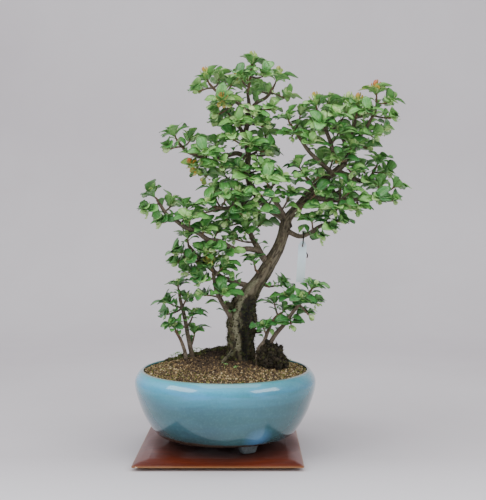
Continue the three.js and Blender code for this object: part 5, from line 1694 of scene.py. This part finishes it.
def add_moss(name, places, ways, sizes, sprig_share, tall, light, *nodes):
    """Crumbs and shoots of moss at the places, each shoot near its way out of the surface."""
    shoots = [i for i in range(len(places)) if draw.random() < sprig_share]
    bm = scatter(places, sizes, 0.7)
    leaning = [ways[i] + 0.5 * draw.normal(size=3) for i in shoots]
    tufts = scatter([places[i] for i in shoots], draw.uniform(0.6, 1.25, len(shoots)), tall, SPRIG, leaning)
    tuft_mesh = plain_mesh("tufts", tufts)
    bm.from_mesh(tuft_mesh)
    bpy.data.meshes.remove(tuft_mesh)
    mesh = to_mesh(name, bm)
    set_values(mesh, "tone", np.append(
        np.repeat(0.75 * light * draw.random(len(places)), GRAIN_CORNERS),
        np.repeat(light * (0.2 + 0.8 * draw.random(len(shoots))), len(SPRIG.vertices))))
    hand_over(name, mesh, moss, "moss", *nodes)
    print(name, len(places), "crumbs and", len(shoots), "shoots")


def moss_share(index):
    """How likely moss holds at a vertex of the bark."""
    up = (spots[index][2] - MOSS_FROM) / (MOSS_TO - MOSS_FROM)
    return 0.08 * (1.3 - up) * (1.4 - min(reliefs[index], 1.3))


low = [i for i in range(len(spots)) if MOSS_FROM < spots[i][2] < MOSS_TO and burls[i] > 0.3]
flanks = [i for i in low if abs(facing[i][0]) > 0.55 and draw.random() < 0.10]
chosen = flanks + [i for i in low if draw.random() < moss_share(i)]
add_moss("bark_moss", [Vector(spots[i]) for i in chosen], [facing[i] for i in chosen],
         0.3 + 1.0 * draw.random(len(chosen)) ** 2, 0.6, 1.5, 1)

# %% [markdown]
# Behind the trunk the moss stands in tufts on the crest of the mound, as if it had been
# planted there. Each tuft is a dome of crumbs drawn from a bell curve, thick in its middle
# and loose at its edge. A mesh for each tuft would look like a ball.

# %% Set moss on the soil's crest
# x, y, width, depth and height of each tuft of moss
CRESTS = [(-68, 52, 9, 10, 4), (-54, 46, 10, 12, 6), (-38, 42, 10, 12, 6), (-22, 36, 10, 10, 5),
          (-7, 30, 9, 8, 3), (6, 29, 8, 7, 2.4), (-34, 6, 9, 8, 2), (72, 14, 12, 10, 2.4), (12, -14, 9, 4, 2)]
CRUMBS_EACH = 200
places = []
for x, y, wide, deep, high in CRESTS:
    for _ in range(CRUMBS_EACH):
        aside = 0.6 * draw.normal(size=2)
        spot = (x + wide * aside[0], y + deep * aside[1])
        above = draw.uniform(-0.1, 1) * high * exp(-aside @ aside)
        places.append(Vector((*spot, soil_height(*spot) + above)))
add_moss("soil_moss", places, [UP] * len(places), 0.7 + 2.8 * draw.random(len(places)) ** 2, 0.5, 2, 1.15)

# %% [markdown]
# ## Root clump
# Round the right suckers sits a dark clump of fibrous roots grown over with moss. Metaballs
# or a sculpt could make the lump. A fine icosphere, stretched to its size and pushed in and
# out by noise at four sizes, needs only a formula, and the crumbs and rootlets can ask the
# same formula where the surface is.

# %% Model the clump
peat = Finish("peaty_roots", Roughness=0.95)
fibre = peat.noise(300, 6, distortion=1.2)
peat.show(peat.ramp(fibre, (0.3, 8, 7, 5), (0.5, 20, 17, 11), (0.62, 38, 38, 19),
                    (0.75, 70, 64, 42)), None, fibre, 0.0012, 0.9)
CLUMP_CENTRE = np.array((62.0, -20, 112))
CLUMP_SIZE = np.array((18.5, 17, 22))


def clump_surface(way):
    """The clump's surface in the direction of a unit vector."""
    place = Vector(way)
    lump = 1 + 0.1 * sin(7 * way[0] + 3 * way[1]) * sin(5 * way[1] + 6 * way[2])
    lump += 0.26 * noise.noise(place * 2.6) + 0.24 * noise.noise(place * 6.7) + 0.16 * noise.noise(place * 15)
    lump += 0.06 * noise.noise(place * 34) - 0.02
    return CLUMP_CENTRE + lump * np.array(way) * CLUMP_SIZE


bm = bmesh.new()
bmesh.ops.create_icosphere(bm, subdivisions=6, radius=1)
for vertex in bm.verts:
    vertex.co = clump_surface(vertex.co.normalized())
hand_over("root_clump", to_mesh("root_clump", bm), peat, "moss", "root_clump")

draw = np.random.default_rng(31)
ways = [unit(way) for way in draw.normal(size=(3600, 3)) if way[2] > -0.35 * abs(way[0])]
places = [Vector(clump_surface(way)) for way in ways]
add_moss("clump_moss", places, ways, 0.5 + 2.6 * draw.random(len(places)) ** 3, 0.5, 1.9, 0.7, "root_clump")

# %% [markdown]
# Fine rootlets arch over the clump. They could be curves with a round bevel, but the tube
# that grew the wood does as well. Each runs over the lumpy surface from one side to the
# other, lifted a little in its middle and shaken at every step.

# %% Lay rootlets over the clump
ROOTLETS, ROOTLET_STEPS, ROOTLET_RADIUS = 46, 12, 0.42

bm = bmesh.new()
for _ in range(ROOTLETS):
    start, end = unit(draw.normal(size=3) + (0, -0.4, 0.5)), unit(draw.normal(size=3) + (0, -0.4, -0.5))
    line = []
    for step in range(ROOTLET_STEPS + 1):
        way = unit(start + (end - start) * step / ROOTLET_STEPS + 0.08 * draw.normal(size=3))
        lift = 0.3 + 0.9 * sin(pi * step / ROOTLET_STEPS)
        line.append((*(clump_surface(way) + way * lift), ROOTLET_RADIUS))
    grow_tube(bm, rings_along(line, 2 * ROOTLET_STEPS), 5)

root_skin = grainy("rootlets", 0.8, 800, 3, 0.0002, 0.5, (0.35, 30, 23, 17), (0.65, 74, 58, 42))
hand_over("rootlets", closed_mesh("rootlets", bm), root_skin, "moss", "root_clump")

# %% [markdown]
# ## Seedlings
# A few weeds have come up in the soil, most of them on the left. Each is a thin stem with
# three tiny leaves. They could be modelled one by one, but the helpers for wood and for
# leaves make them too: a seedling needs only its place and its height.

# %% Grow the seedlings
# place in x and y, and height
SEEDLINGS = [((-66, 44), 7), ((-62, 42), 9), ((-57, 48), 9), ((-53, 44), 8), ((-59, 40), 7), ((-34, 14), 6),
             ((-31, 12), 8), ((-27, 8), 7), ((-37, 9), 5), ((6, -47), 4), ((21, -53), 3), ((88, 20), 5)]
draw = np.random.default_rng(61)
bm = bmesh.new()
sprout_leaves = []
for (x, y), height in SEEDLINGS:
    foot = soil_height(x, y) - 2
    lean = draw.uniform(-0.3, 0.3, 2)
    line = [(x, y, foot, 0.5), (x + lean[0] * height / 2, y + lean[1] * height / 2, foot + height / 2 + 2, 0.4),
            (x + lean[0] * height, y + lean[1] * height, foot + height + 2, 0.32)]
    rings = rings_along(line, 8)
    grow_tube(bm, rings, 6)
    top = rings[-1]
    turn = draw.uniform(0, pi)
    for leaf in range(3):
        way = turn + 2.1 * leaf
        out = cos(way) * top["across"] + sin(way) * top["out"]
        along = unit(out + 0.5 * UP)
        face = unit(UP - (UP @ along) * along)
        sprout_leaves.append({"root": top["centre"], "along": along, "face": face, "side": cross(face, along),
                              "length": draw.uniform(3, 5), "arch": 0.15, "bow": 0.1, "droop": 0.1,
                              "tone": draw.uniform(0.3, 0.8), "flush": draw.uniform(0, 0.25)})
sprout_skin = grainy("seedling_stem", 0.6, 600, 3, 0.0001, 0.4, (0.35, 96, 116, 60), (0.65, 140, 150, 84))
hand_over("seedling_stems", closed_mesh("seedling_stems", bm), sprout_skin, "moss")
hand_over("seedling_leaves", leaves_mesh("seedling_leaves", sprout_leaves, draw), leaf_skin, "leaf")

# %% [markdown]
# ## Tag and wire
# A nursery tag is a strip of thin plastic with tapered shoulders and a round hole. A Boolean
# could cut the hole, but it would leave long thin faces. So the outline and the hole's
# circle are filled together and extruded to the strip's thickness, and a Bevel modifier
# softens the cut edges. The plastic is a little greyer and greener toward its lower end.

# %% Model the tag
TAG_TOP = Vector((103.7, -13, 264))
TAG_OUTLINE = [(-5.25, -52), (5.25, -52), (5.25, -5), (2.2, 0), (-2.2, 0), (-5.25, -5)]
TAG_THICK = 0.8
HOLE_DROP, HOLE_RADIUS = 6, 1.7
TAG_LEAN = -0.063  # radians

bm = bmesh.new()
corners = [bm.verts.new((x, 0, z)) for x, z in TAG_OUTLINE]
outline = [bm.edges.new((corners[i - 1], corners[i])) for i in range(len(corners))]
turned = Matrix.Translation((0, 0, -HOLE_DROP)) @ Matrix.Rotation(pi / 2, 4, "X")
hole = bmesh.ops.create_circle(bm, cap_ends=False, segments=28, radius=HOLE_RADIUS, matrix=turned)["verts"]
hole_edges = list({edge for vertex in hole for edge in vertex.link_edges})
bmesh.ops.triangle_fill(bm, use_beauty=True, edges=outline + hole_edges, normal=(0, -1, 0))
grown = bmesh.ops.extrude_face_region(bm, geom=bm.faces[:])["geom"]
for vertex in picked(grown, BMVert):
    vertex.co.y += TAG_THICK
bmesh.ops.translate(bm, vec=(0, -TAG_THICK / 2, 0), verts=bm.verts)
bmesh.ops.rotate(bm, matrix=Matrix.Rotation(-TAG_LEAN, 3, "Y"), verts=bm.verts, cent=(0, 0, 0))
bmesh.ops.translate(bm, vec=TAG_TOP, verts=bm.verts)
plastic = Finish("pale_plastic", Roughness=0.4)
scuff = plastic.noise(120, 4, stretch=(1, 1, 0.4))
greyer_below = plastic.level(plastic.axis("Z"), 0.25, 0.225, 0, 0.8)
pale = plastic.ramp(scuff, (0.3, 208, 228, 238), (0.6, 224, 240, 248), (0.8, 214, 232, 240))
plastic.show(plastic.mix(greyer_below, pale, (206, 220, 222)),
             plastic.level(scuff, 0.3, 0.7, 0.32, 0.48), scuff, 0.0001, 0.3)
round_edges(hand_over("tag", closed_mesh("tag", bm), plastic, "plastic", "tag"), 0.18, 2, 30)

# %% [markdown]
# The wire is a single stiff piece, bent over the branch, through the tag's hole and down to
# a loose end. A curve with a round bevel could make it, but the tube that grew the wood does
# the same and closes the ends.

# %% Bend the wire
WIRE_PATH = [(104.2, -7.6, 262), (104.6, -7.4, 268), (104.7, -8.6, 274), (104.7, -11.8, 275.8),
             (104.6, -15.1, 274), (104.3, -16.4, 269), (103.8, -16, 262.5), (103.3, -14.6, 258.6),
             (103.2, -12.4, 257.6), (104.6, -10.6, 255), (107.4, -10, 250.6), (109.6, -11, 246.4),
             (109, -12.6, 243)]
WIRE_RADIUS = 0.75
bm = bmesh.new()
grow_tube(bm, rings_along([(*point, WIRE_RADIUS) for point in WIRE_PATH], 110), 12)
wire = Finish("dark_wire", Metallic=0.7)
tarnish = wire.noise(500, 4)
wire.show(wire.ramp(tarnish, (0.35, 30, 27, 25), (0.65, 62, 54, 47)),
          wire.level(tarnish, 0.3, 0.7, 0.35, 0.6), tarnish, 0.0001, 0.4)
hand_over("tag_wire", closed_mesh("tag_wire", bm), wire, "wire", "tag_wire")

# %% [markdown]
# ## Measure
# The faces of all the pieces are counted, as they stand before their modifiers.

# %% Count the faces
faces = sum(len(piece.data.polygons) for piece in bpy.data.objects if piece.type == "MESH")
print("in all", faces, "faces before modifiers")
